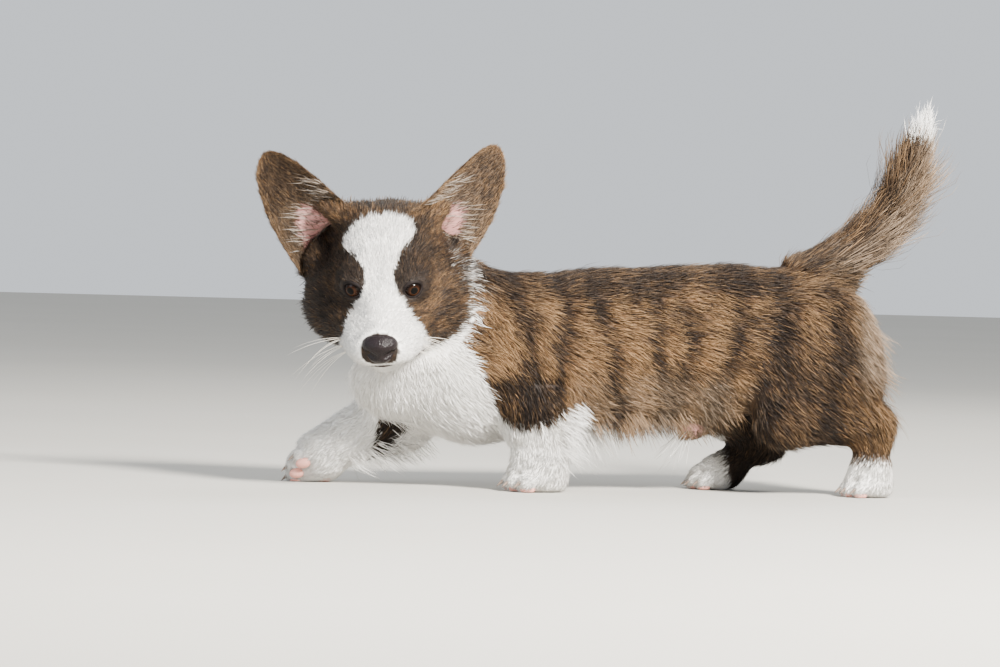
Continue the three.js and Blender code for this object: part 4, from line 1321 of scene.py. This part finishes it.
# %% Where the long hair grows
# Corners of the box it grows in, the way its skin faces, tufts to a square millimetre, length, width and
# rise, the way it hangs, and how much of it is white.
LONG_HAIR = {
    "breast_fringe": (
        (-4, -30, 26), (54, 44, 48), (0, 0.3, -1), 0.10, (22, 0.4, 0.4), (-0.5, 0.1, -0.8), 0.7,
    ),
    "belly_fringe": (
        (-60, -30, 34), (10, 48, 58), (0, 0.4, -1), 0.34, (12, 0.4, 0.4), (-0.6, 0.1, -0.8), 0.0,
    ),
    "groin_fringe": (
        (-104, -30, 40), (-60, 46, 66), (0, 0.4, -1), 0.08, (10, 0.4, 0.4), (-0.5, 0.1, -0.8), 0.0,
    ),
    "trousers": (
        (-215, -60, 60), (-166, 60, 124), (-1, 0, 0), 0.12, (17, 0.4, 0.4), (-0.5, 0, -0.7), 0.0,
    ),
    "elbow_feather": (
        (22, 8, 24), (46, 62, 62), (-1, 0, 0), 0.20, (13, 0.4, 0.4), (-0.7, 0, -0.6), 0.9,
    ),
    "arm_feather": (
        (122, -68, 14), (176, -6, 52), (-0.5, 0, -1), 0.18, (14, 0.4, 0.4), (-0.8, 0, -0.4), 0.7,
    ),
    "sheath_wisp": (
        (-66, -4, 32), (-52, 10, 46), (0.5, 0, -1), 0.16, (20, 0.36, 0.3), (0.5, 0, -0.8), 1.0,
    ),
}

# The same on the head, in the head's frame.
HEAD_HAIR = {
    "cheek_ruff_left": (
        (-14, 30, -56), (34, 70, -16), (0.5, 0.8, 0), 0.36, (7, 0.36, 0.26), (-0.7, 0.5, -0.6), 0.0,
    ),
    "cheek_ruff_right": (
        (-44, -70, -62), (14, -26, -20), (0, -1, -0.6), 0.40, (7, 0.36, 0.3), (-0.6, -0.6, -0.7), 0.0,
    ),
    "crown_hair": (
        (-40, -34, 26), (0, 34, 50), (0, 0, 1), 0.16, (4.5, 0.36, 0.3), (-1, 0, 0.2), 0.0,
    ),
}

# %% Gather the tufts into pieces
PIECE_OF = {
    "head": "coat_head", "jaw": "coat_head", "neck": "coat_neck",
    "trunk": "coat_trunk", "sheath": "coat_trunk", "tail": "coat_tail",
    "shoulder_left": "coat_shoulders", "shoulder_right": "coat_shoulders",
    "forearm_left": "coat_forelegs", "forearm_right": "coat_forelegs",
    "thigh_left": "coat_haunches", "thigh_right": "coat_haunches", "shank_left": "coat_haunches",
    "shank_right": "coat_haunches", "hock_left": "coat_haunches", "hock_right": "coat_haunches",
}
# Rings of a tuft: one on the short coat of face, feet and ears, three on the brush and the long hair.
RINGS_OF = {"coat_head": SHORT, "coat_feet": SHORT, "coat_ears": SHORT, "coat_tail": LONG}
RINGS_OF |= {"coat_" + name: LONG for name in LONG_HAIR | HEAD_HAIR}
MOST_TRIANGLES = 190000
LOWEST_HAIR = 0.3


def triangles_of(rings):
    return 4 + 6 * (len(rings) - 1)


def plant(piece, coat, here):
    """Makes the chosen tufts of a coat into one piece, or into several where they are too many."""
    rings = RINGS_OF.get(piece, MIDDLE)
    most = MOST_TRIANGLES // triangles_of(rings)
    where = np.flatnonzero(here)
    in_order = where[np.argsort(coat["root"][where, 0], kind="stable")]
    batches = np.array_split(in_order, math.ceil(len(where) / most))
    for number, batch in enumerate(batches, 1):
        name = piece if len(batches) == 1 else f"{piece}_{number}"
        shape = [coat[key][batch] for key in ("root", "out", "lie", "length", "width", "rise", "curl")]
        points = tuft_points(*shape, rings)
        points[..., 2] = np.maximum(points[..., 2], LOWEST_HAIR)
        mesh = tuft_mesh(name, points, coat["spot"][batch], coat["mark"][batch], rings)
        slot = "white_coat" if coat["mark"][batch, 0].mean() > 0.5 else "brindle_coat"
        new_piece(name, mesh, coat_finish, slot)
        print(name, len(batch), "tufts", len(batch) * triangles_of(rings), "triangles")
    return len(where) * triangles_of(rings)


piece_of_root = np.array([PIECE_OF.get(name, "coat_feet") for name in names])[weight.argmax(1)]
coat_triangles = sum(plant(piece, body_coat, piece_of_root == piece) for piece in sorted(set(piece_of_root)))
print("coat triangles on the body:", coat_triangles)

# %% [markdown]
# ## Long hair
# Where a coat is longest it hangs free of the body and softens the outline: a fringe under the belly,
# trousers behind the thighs, and feathers behind the elbow and the arm. These tufts aren't laid into the
# skin; they leave it and hang.

# %% Fringes, trousers and feathers
BOX_EDGE = 4.0


def in_box(p, low, high):
    inside = np.minimum(p - np.array(low), np.array(high) - p)
    return smooth(-BOX_EDGE, BOX_EDGE, inside).prod(-1)


def grow_long(name, rng):
    low, high, facing, dense, hair, hang, white = (LONG_HAIR | HEAD_HAIR)[name]
    place, axes = (to_head(skin_points), HEAD_AXES) if name in HEAD_HAIR else (skin_points, np.eye(3))
    faces_that_way = smooth(0.1, 0.5, normals[: len(skin_points)] @ axes @ unit(np.array(facing, float)))
    density = dense * in_box(place, low, high) * faces_that_way
    chosen, share = sow(body_only, all_points, density[body_only].mean(1), rng)
    root = between(all_points, body_only, chosen, share)
    out = unit(between(normals, body_only, chosen, share))
    spot = root_uv(only_loops, chosen, share)
    wander = 0.3 * wander_at(root, 9, 41) + 0.12 * rng.normal(0, 1, root.shape)
    lie = unit(axes @ np.array(hang, float) + wander)
    mark = marks_at(root, weights_at(root), rng, 1.0)
    mark[:, 0] = np.maximum(mark[:, 0], rng.uniform(0, 1, len(root)) < white)
    return crop_of(root, out, lie, np.tile(hair, (len(root), 1)), mark, spot, rng)


long_chance = np.random.default_rng(17)
for name in LONG_HAIR | HEAD_HAIR:
    long_coat = grow_long(name, long_chance)
    coat_triangles += plant("coat_" + name, long_coat, np.ones(len(long_coat["root"]), bool))

# %% [markdown]
# ## The ears' hair
# The back of an ear has short dark hair that runs to the tip, and so has the upper half of its front.
# Low in its cup the skin is bare and pink, with long pale hairs that sweep across it from the inner rim.

# %% Hair on the ears
ear_only = body_triangles[~is_body] - len(skin_points)
ear_loops = body_loops[~is_body]
ear_normals = normals[len(skin_points):]


def ear_ways():
    """Unit vectors at each point of the ears: towards the tip, and towards the outer edge."""
    to_tip, to_edge = [], []
    for side in SIDES:
        step = 0.01
        low = np.minimum(ear_s[: EAR_ROWS * EAR_COLUMNS], 0.6)
        a = np.clip(ear_a[: EAR_ROWS * EAR_COLUMNS], -0.98, 0.98)
        tip_way = unit(ear_point(side, low + step, a, 0) - ear_point(side, low, a, 0))
        edge_way = unit(ear_point(side, low, a + step, 0) - ear_point(side, low, a - step, 0))
        to_tip += [tip_way, tip_way]
        to_edge += [edge_way, edge_way]
    return np.concatenate(to_tip), np.concatenate(to_edge)


to_tip, to_edge = ear_ways()


def sow_ears(density, size, lean, rng, hair="short"):
    chosen, share = sow(ear_only, ear_points, density[ear_only].mean(1), rng)

    def get(values):
        return between(values, ear_only, chosen, share)

    out = unit(get(ear_normals))
    s, a, inside = get(ear_s), get(ear_a), get(ear_inside)
    lie = unit(get(to_tip) * np.cos(lean) + get(to_edge) * np.sin(lean))
    lie = lie + 0.3 * wander_at(get(ear_points), 6, 31)
    lie = unit(lie - out * (lie * out).sum(-1, keepdims=True))
    mark = ear_marks(s, a, inside, rng, 1.0)
    if hair == "pale":
        mark[:, 2] = rng.uniform(0.5, 1, len(s))
        mark[:, 0] = rng.uniform(0, 0.35, len(s))
    ones = np.ones(len(s))
    size = np.array(size) * np.stack([1 - 0.6 * smooth(0.8, 1, s), ones, ones], -1)
    return crop_of(get(ear_points), out, lie, size, mark, root_uv(ear_loops, chosen, share), rng)


ear_chance = np.random.default_rng(23)
short_density = 2.4 * (1 - 0.95 * pink)
ear_coat = sow_ears(short_density, (5.5, 0.42, 0.35), 0.15, ear_chance)
coat_triangles += plant("coat_ears", ear_coat, np.ones(len(ear_coat["root"]), bool))
inner_rim = ear_inside * smooth(-0.45, -0.8, ear_a) * smooth(0.05, 0.15, ear_s) * smooth(0.6, 0.4, ear_s)
sweep_density = 0.36 * inner_rim + 0.16 * pink
sweep_coat = sow_ears(sweep_density, (13, 0.34, 0.3), 0.6, ear_chance, "pale")
coat_triangles += plant("coat_ear_sweeps", sweep_coat, np.ones(len(sweep_coat["root"]), bool))
print("coat triangles in all:", coat_triangles)

# %% [markdown]
# ## The eyes
# A dog's eye is a ball with a clear, bulging front. What shows is the iris, a ring of fine amber
# fibres round a black pupil, with a dark border. One closed mesh carries both: the colours are painted by
# the distance from the eye's axis, and a clear, wet coat over them gives the highlight.

# %% Eyeballs
IRIS_RADIUS = 5.3
PUPIL_RADIUS = 2.4
CORNEA_RISE = 0.7


def rings_mesh(name, rings, wrap_rings=False):
    """A closed mesh from rings of equal count, each an array of points."""
    sides = len(rings[0])
    points = np.concatenate(rings)
    index = np.arange(len(points)).reshape(len(rings), sides)
    following = np.roll(index, -1, axis=0) if wrap_rings else index[1:]
    first = index if wrap_rings else index[:-1]
    right = np.roll(first, -1, axis=1)
    beyond = np.roll(following, -1, axis=1)
    faces = np.stack([first, right, beyond, following], -1).reshape(-1, 4).tolist()
    if not wrap_rings:
        faces += [index[0][::-1].tolist(), index[-1].tolist()]
    mesh = bpy.data.meshes.new(name)
    mesh.from_pydata(to_row(points).tolist(), [], faces)
    mesh.polygons.foreach_set("use_smooth", np.ones(len(faces), bool))
    mesh.update()
    return mesh


def face_outward(mesh):
    """Turns a closed mesh's faces outward if they point in."""
    mesh.calc_loop_triangles()
    points = np.zeros(len(mesh.vertices) * 3, np.float32)
    mesh.vertices.foreach_get("co", points)
    corners = np.zeros(len(mesh.loop_triangles) * 3, np.int32)
    mesh.loop_triangles.foreach_get("vertices", corners)
    a, b, c = points.reshape(-1, 3)[corners.reshape(-1, 3)].astype(float).transpose(1, 0, 2)
    if (np.cross(a, b) * c).sum() < 0:
        mesh.flip_normals()
    return mesh


def eye_mesh(side):
    forward = eye_axis(side)
    across = unit(np.cross([0, 0, 1], forward))
    above = np.cross(forward, across)
    polar = np.radians(np.concatenate([[0.6], np.arange(2.5, 60, 2.5), np.arange(60, 179, 8)]))
    turn = np.linspace(0, 2 * np.pi, 48, endpoint=False)
    around = np.outer(np.cos(turn), across) + np.outer(np.sin(turn), above)
    rings, look = [], []
    for angle in polar:
        radius = EYE_RADIUS + CORNEA_RISE * smooth(math.radians(44), math.radians(18), angle)
        ring = eye_centre(side) + radius * (math.cos(angle) * forward + math.sin(angle) * around)
        rings.append(from_head(ring))
        off_axis = EYE_RADIUS * math.sin(angle) if angle < math.pi / 2 else EYE_RADIUS * 2
        look.append(np.stack([np.cos(turn), np.sin(turn), np.full(len(turn), off_axis)], -1))
    mesh = face_outward(rings_mesh("eyeball", rings))
    mark_points(mesh, "iris", np.concatenate(look), "FLOAT_VECTOR", "vector")
    return mesh


# Colours outward from the eye's axis: pupil, iris, its dark border, and the white under the lids.
EYE_REACH = 10
EYE_EDGE = 0.055
EYE_COLOURS = (
    (0.0, "020101"), (PUPIL_RADIUS / EYE_REACH + EYE_EDGE - 0.012, "030202"),
    (PUPIL_RADIUS / EYE_REACH + EYE_EDGE + 0.02, "3b2314"), (0.40, "2b180e"), (0.50, "150c07"),
    (IRIS_RADIUS / EYE_REACH + EYE_EDGE, "0d0705"), (0.66, "1c1310"), (0.8, "4a3a35"), (1.0, "8d7a72"),
)


def eye_material():
    """A wet, clear cornea gives one sharp highlight; the iris behind it is matt and made of fibres."""
    made, tree = new_material("wet_cornea_over_amber_iris")
    look = add(tree, "ShaderNodeAttribute", {"attribute_name": "iris"})
    parts = add(tree, "ShaderNodeSeparateXYZ", (), i0=look.outputs["Vector"])
    _, height, off_axis = parts.outputs
    fibre_shape = (5.0, 5.0, 0.35)
    fibres = add(tree, "ShaderNodeVectorMath", PRODUCT, i0=look.outputs["Vector"], i1=fibre_shape)
    strands = add(tree, "ShaderNodeTexNoise", (), Vector=fibres, Scale=2.6, Detail=4.0)
    wavy = add(tree, "ShaderNodeMath", SCALED_SUM, i0=strands, i1=1.1, i2=off_axis)
    scale = add(tree, "ShaderNodeMath", PRODUCT, i0=wavy, i1=1 / EYE_REACH)
    bands = add(tree, "ShaderNodeValToRGB", (), Fac=scale)
    line = bands.color_ramp
    line.elements.remove(line.elements[-1])
    line.elements[0].color = linear(EYE_COLOURS[0][1])
    for place, color in EYE_COLOURS[1:]:
        line.elements.new(place).color = linear(color)
    # Painted shade of the upper lid and its lashes: the eye is darkened towards the top, and a little
    # lightened at the bottom.
    high = add(tree, "ShaderNodeMath", PRODUCT, i0=height, i1=off_axis)
    from_to = {"From_Min": -3.0, "From_Max": 4.0, "To_Min": 1.1, "To_Max": 0.2}
    lid_shadow = add(tree, "ShaderNodeMapRange", (), Value=high, **from_to)
    shade = add(tree, "ShaderNodeCombineColor", (), Red=lid_shadow, Green=lid_shadow, Blue=lid_shadow)
    color = add(tree, "ShaderNodeMix", DARKENED, i0=1.0, i6=bands, i7=shade)
    cornea = {"Coat_Weight": 0.5, "Coat_Roughness": 0.04, "Coat_IOR": 1.3}
    finish_material(tree, color, Roughness=0.5, Specular_IOR_Level=0.0, **cornea)
    return made


eye_finish = eye_material()
for side, node in ((1, "eye_left"), (-1, "eye_right")):
    new_piece(node + "_wet", eye_mesh(side), eye_finish, "eye", node)

# %% [markdown]
# ## Eyelids
# Both lids are one ring of dark, hairless skin round the eyeball: an almond whose outer corner is a
# little higher. Its section is swept round the opening: the wet edge, the rim, and the slope down to
# where the fur begins. It is swept rather than carved, so that the rim stays crisp.

# %% Lids
# Beyond the opening, as an angle at the eyeball, and height over the eyeball in millimetres.
LID_SECTION = (
    (-0.04, -1.4), (-0.06, 0.1), (-0.05, 0.6), (-0.01, 0.95), (0.05, 1.2),
    (0.12, 1.3), (0.2, 1.15), (0.27, 0.6), (0.3, -1.4), (0.1, -2.6),
)
LID_STEPS = 72


def lid_point(side, turn, out, high):
    forward, across, above = eye_frame(side)
    a = (LID_HALF_LENGTH + out) * math.cos(turn)
    pinch = 1 - 0.2 * math.cos(turn) ** 2
    b = (LID_HALF_HEIGHT + out) * math.sin(turn) * pinch + LID_TILT * max(a, 0)
    polar = math.hypot(a, b)
    way = math.cos(polar) * forward + math.sin(polar) * (a * across + b * above) / polar
    return from_head(eye_centre(side) + (EYE_RADIUS + high) * way)


def skin_material(name, color, second, rough, pebble, bump, **more):
    """Bare skin: two tones in fine blotches, with pebbles of the given size in millimetres."""
    made, tree = new_material(name)
    place = add(tree, "ShaderNodeTexCoord").outputs["Object"]
    blotches = {"Vector": place, "Scale": MILLIMETRES / (4 * pebble), "Detail": 3.0}
    tone = add(tree, "ShaderNodeTexNoise", (), **blotches)
    pebbles = add(tree, "ShaderNodeTexVoronoi", (), Vector=place, Scale=MILLIMETRES / pebble)
    base = add(tree, "ShaderNodeMix", COLOURS, i0=tone, i6=linear(color), i7=linear(second))
    height = add(tree, "ShaderNodeBump", (), Strength=bump, Distance=0.0003, Height=pebbles)
    finish_material(tree, base, Roughness=rough, Normal=height, **more)
    return made


# Hairless lid skin is nearly black and slightly greasy, so it has a weak, soft gloss.
greasy = {"IOR": 1.4, "Specular_IOR_Level": 0.2}
lid_finish = skin_material("dark_lid_skin", "0d0908", "181110", 0.7, 0.9, 0.25, **greasy)
for side, name in ((1, "eyelids_left"), (-1, "eyelids_right")):
    turns = np.linspace(0, 2 * np.pi, LID_STEPS, endpoint=False)
    hoop = [[lid_point(side, turn, out, high) for out, high in LID_SECTION] for turn in turns]
    new_piece(name, face_outward(rings_mesh(name, hoop, wrap_rings=True)), lid_finish, "eye")

# %% [markdown]
# ## The nose
# Nose leather is bare, dark, pebbled skin that is always a little wet. The block is a field again, with
# the comma of each nostril and the groove below them scooped out of it, meshed at under half a millimetre.

# %% Nose leather
NOSE_SPACING = 0.45
NOSE_CORNER = np.array([72.0, -15.0, -27.0])
NOSE_FAR_CORNER = np.array([102, 15, 2])
nose_block = blend(5, egg([86, 0, -9.5], [12, 12.8, 8.4], -6), egg([87, 0, -16.5], [10, 9.4, 6.6]))
NOSTRIL = np.array([[98.6, 4.2, -14.2], [96.8, 6.2, -14.2], [94.8, 7.8, -13.2], [93.6, 8.6, -12.4]])


def nose_field(p):
    value = nose_block(p) + 0.25
    mirrored = p * np.array([1, 0, 1]) + np.abs(p) * np.array([0, 1, 0])
    for i, radius in enumerate((3.0, 3.0, 2.4)):
        value = -melt(-value, limb(NOSTRIL[i], radius, NOSTRIL[i + 1], radius - 0.5)(mirrored), 1.2)
    groove = limb([99.2, 0, -26], 0.9, [99.2, 0, -13.5], 0.4)
    return -melt(-value, groove(p), 1.2)


def nose_mesh():
    ticks = [np.arange(a, b, NOSE_SPACING) for a, b in zip(NOSE_CORNER, NOSE_FAR_CORNER)]
    block = np.stack(np.meshgrid(*ticks, indexing="ij"), -1)
    points, quads = surface_of(nose_field(block).astype(np.float32), NOSE_CORNER, NOSE_SPACING)
    return face_outward(new_mesh("nose_leather", from_head(points), quads))


# Pebbled leather that the tongue keeps wet: dark, with broken highlights on every pebble.
wet = {"IOR": 1.4, "Specular_IOR_Level": 0.28}
nose_finish = skin_material("wet_nose_leather", "0f0a0b", "191113", 0.32, 0.9, 1.0, **wet)
new_piece("nose_leather", nose_mesh(), nose_finish, "nose_leather", "nose")

# %% [markdown]
# ## Mouth, whiskers, claws and pads
# The lips meet in a dark line round the front of the muzzle, just under the nose. Whiskers are single
# stiff hairs, long enough to be modelled one by one. Claws are pale, curved horn, and the pads are
# cushions of bare pink skin, plain to see on the forepaw that reaches out.

# %% Lips


def surface_from(origin, way, field):
    """Where a ray from inside a field leaves it."""
    longest, step = 80.0, 0.25
    far = np.arange(0, longest, step)
    inside = field(origin + far[:, None] * way) < 0
    return origin + far[np.argmin(inside)] * way


def bare_head(q):
    return melt(skull(q) + 1.0, jaw(q) + 2.0, 3)


def head_surface(origin, way):
    """The same for the bare head, in the head's frame."""
    return surface_from(np.array(origin, float), unit(np.array(way, float)), bare_head)


def tube_mesh(name, path, radii, sides=8):
    path = np.asarray(path, float)
    heading = unit(np.gradient(path, axis=0))
    side = unit(np.cross(heading, [0.13, 0.2, 1.0]))
    top = np.cross(side, heading)
    turn = np.linspace(0, 2 * np.pi, sides, endpoint=False)
    rings = []
    for centre, radius, a, b in zip(path, radii, side, top):
        rings.append(centre + radius * (np.outer(np.cos(turn), a) + np.outer(np.sin(turn), b)))
    return face_outward(rings_mesh(name, rings))


LIP_FALL = math.tan(math.radians(19))
LIP_STEPS = 50
# Lip skin is dark and a little moist, so its line catches a faint light.
lip_finish = skin_material("dark_lip_skin", "1b1211", "33221f", 0.4, 0.9, 0.3, IOR=1.4)
lip_ways = np.radians(np.linspace(-112, 112, LIP_STEPS))
lip_line = np.array([head_surface([58, 0, -20], [math.cos(t), math.sin(t), -LIP_FALL]) for t in lip_ways])
lip_radii = 0.25 + 0.75 * np.sin(np.linspace(0.05, np.pi - 0.05, LIP_STEPS)) ** 0.5
new_piece("lips", tube_mesh("lips", from_head(lip_line), lip_radii), lip_finish, "nose_leather")

# %% Whiskers


def hair_material(name, color, second):
    """A single thick hair: smooth, polished horn with a narrow highlight, mottled every centimetre."""
    made, tree = new_material(name)
    place = add(tree, "ShaderNodeTexCoord").outputs["Object"]
    tone = add(tree, "ShaderNodeTexNoise", (), Vector=place, Scale=MILLIMETRES / 10)
    color = add(tree, "ShaderNodeMix", COLOURS, i0=tone, i6=linear(color), i7=linear(second))
    finish_material(tree, color, Roughness=0.35, IOR=HAIR_IOR)
    return made


WHISKER_SINK = 0.5
whisker_finish = hair_material("whisker_horn", "efe9de", "d8cfc0")


def whisker(root, way, length, droop, thick=0.17):
    """A stiff hair that leaves along way and bends under its own weight."""
    t = np.linspace(0, 1, 11)[:, None]
    way = unit(np.array(way, float))
    path = root + length * (t * way + droop * t**2 * np.array([-0.25, 0, -1.0]))
    return path, thick * (1 - 0.8 * t[:, 0])


def joined_tubes(name, tubes, finish, slot, sides=5):
    points, faces, start = [], [], 0
    for path, radii in tubes:
        mesh = tube_mesh(name + "_one", path, radii, sides)
        points += [tuple(v.co) for v in mesh.vertices]
        faces += [[i + start for i in face.vertices] for face in mesh.polygons]
        start += len(mesh.vertices)
        bpy.data.meshes.remove(mesh)
    mesh = bpy.data.meshes.new(name)
    mesh.from_pydata(points, [], faces)
    mesh.polygons.foreach_set("use_smooth", np.ones(len(faces), bool))
    new_piece(name, mesh, finish, slot)


def make_whiskers():
    """Three rows of four on each side of the muzzle, and seven short ones under the chin."""
    rng = np.random.default_rng(5)
    tubes = []
    for side in SIDES:
        for row in range(3):
            for i in range(4):
                way = [0.35 - 0.2 * i, side * 1.0, -0.1 - 0.16 * row]
                root = head_surface([62 + 3.2 * i, side * 8, -14 - 2.6 * row], way)
                root = root - WHISKER_SINK * unit(np.array(way))
                path, radii = whisker(root, way, rng.uniform(22, 42), rng.uniform(0.3, 0.75))
                tubes.append((from_head(path), radii))
    for _ in range(7):
        way = [0.5, rng.uniform(-0.5, 0.5), -1]
        root = head_surface([66, rng.uniform(-6, 6), -26], way)
        path, radii = whisker(root, way, rng.uniform(6, 11), 0.2, 0.14)
        tubes.append((from_head(path), radii))
    joined_tubes("whiskers", tubes, whisker_finish, "white_coat")


make_whiskers()

# %% Claws and pads


def paw_place(paw, points):
    return np.asarray(points, float) * paw["size"] @ paw["axes"].T + paw["origin"]


# Claws are translucent horn with a dull polish, and pads are soft, dry, finely pebbled skin.
claw_finish = skin_material("claw_horn", "8f7d6f", "5d4d44", 0.35, 1.5, 0.15, IOR=1.54)
pad_finish = skin_material("pink_pad_skin", "e2a898", "d08f82", 0.6, 0.7, 0.6, IOR=1.4)
# How far the pads stand out below the lifted paw, and how close claws and pads come to the floor.
PAD_DROP = {"forepaw_right": 2.8}
CLAW_GAP = 0.2
PAD_GAP = 0.35
PAD_SPACING = 0.6
PAD_CORNER = np.array([-16.0, -24.0, -6.0])
PAD_FAR_CORNER = np.array([28, 24, 9])


def make_claws():
    tubes = []
    for name, paw in paws.items():
        for toe in range(TOES):
            tip = toe_tip(toe)
            reach = np.linspace(0, 1, 8)[:, None]
            bend = tip + np.array([1.0, 0, 1.6]) + reach * [9.5, tip[1] * 0.1, 0] + reach**2 * [0, 0, -5.2]
            radii = paw["size"] * (1.75 * (1 - reach[:, 0] ** 1.6) + 0.15)
            path = paw_place(paw, bend)
            path[:, 2] = np.maximum(path[:, 2], radii + CLAW_GAP)
            tubes.append((path, radii))
    joined_tubes("claws", tubes, claw_finish, "nose_leather", 10)


def make_pads():
    ticks = [np.arange(a, b, PAD_SPACING) for a, b in zip(PAD_CORNER, PAD_FAR_CORNER)]
    block = np.stack(np.meshgrid(*ticks, indexing="ij"), -1)
    for name, paw in paws.items():
        drop = PAD_DROP.get(name, 0)
        pads = [egg([-1, 0, 3.2 - drop], [8.5, 9.5, 4.2]), egg([-4, 0, 3 - drop], [6.5, 12, 4])]
        for toe in range(TOES):
            tip = toe_tip(toe)
            pads.append(egg([tip[0] - 0.5, tip[1], 2.6 - drop], [5.6, 4.3, 3.6]))
        value = np.maximum(blend(1.5, *pads)(block), PAD_GAP - paw_place(paw, block)[..., 2])
        points, quads = surface_of(value.astype(np.float32), PAD_CORNER, PAD_SPACING)
        mesh = new_mesh("pads_" + name, paw_place(paw, points), quads)
        new_piece("pads_" + name, face_outward(mesh), pad_finish, "nose_leather")


make_claws()
make_pads()

# %% [markdown]
# ## Floor and light
# A pale, matt studio floor, a large soft key from the viewer's right, a weak fill from the left so that
# the shaded cheek keeps its detail, and a rim light from behind that draws the edge of the coat.

# %% Floor, lights and world
FLOOR_REACH = 6
FLOOR_MOTTLE = 1000 / 3


def make_floor():
    """Painted board: matt, and very faintly mottled over a third of a metre."""
    made, tree = new_material("matt_studio_floor")
    place = add(tree, "ShaderNodeTexCoord").outputs["Object"]
    mottle = add(tree, "ShaderNodeTexNoise", (), Vector=place, Scale=MILLIMETRES / FLOOR_MOTTLE, Detail=4.0)
    color = add(tree, "ShaderNodeMix", COLOURS, i0=mottle, i6=linear("aaa79f"), i7=linear("b1aea7"))
    finish_material(tree, color, Roughness=0.9)
    mesh = bpy.data.meshes.new("floor")
    r = FLOOR_REACH
    mesh.from_pydata([(-r, -r, 0), (r, -r, 0), (r, r, 0), (-r, r, 0)], [], [(0, 1, 2, 3)])
    floor = bpy.data.objects.new("floor", mesh)
    bpy.context.scene.collection.objects.link(floor)
    mesh.materials.append(made)


def soft_light(name, at, size, power, color):
    data = bpy.data.lights.new(name, "AREA")
    data.shape = "DISK"
    data.size = size
    data.energy = power
    data.color = color
    lamp = bpy.data.objects.new(name, data)
    bpy.context.scene.collection.objects.link(lamp)
    place = Vector(to_row(HEAD_AT * 0.3)) + Vector(to_body(at).tolist())
    lamp.location = place
    lamp.rotation_mode = "QUATERNION"
    lamp.rotation_quaternion = (Vector((0, 0, 0.1)) - place).to_track_quat("-Z", "Y")


make_floor()
soft_light("key", (1.1, -1.5, 1.35), 0.6, 320, (1.0, 0.96, 0.9))
soft_light("fill", (-1.6, -1.4, 0.9), 1.6, 26, (0.86, 0.92, 1.0))
soft_light("rim", (0.6, 1.4, 1.3), 0.8, 22, (1.0, 0.97, 0.92))
world = bpy.data.worlds.new("studio")
world.use_nodes = True
world.node_tree.nodes["Background"].inputs[0].default_value = linear("dfe4ea")
world.node_tree.nodes["Background"].inputs[1].default_value = 1.15
bpy.context.scene.world = world
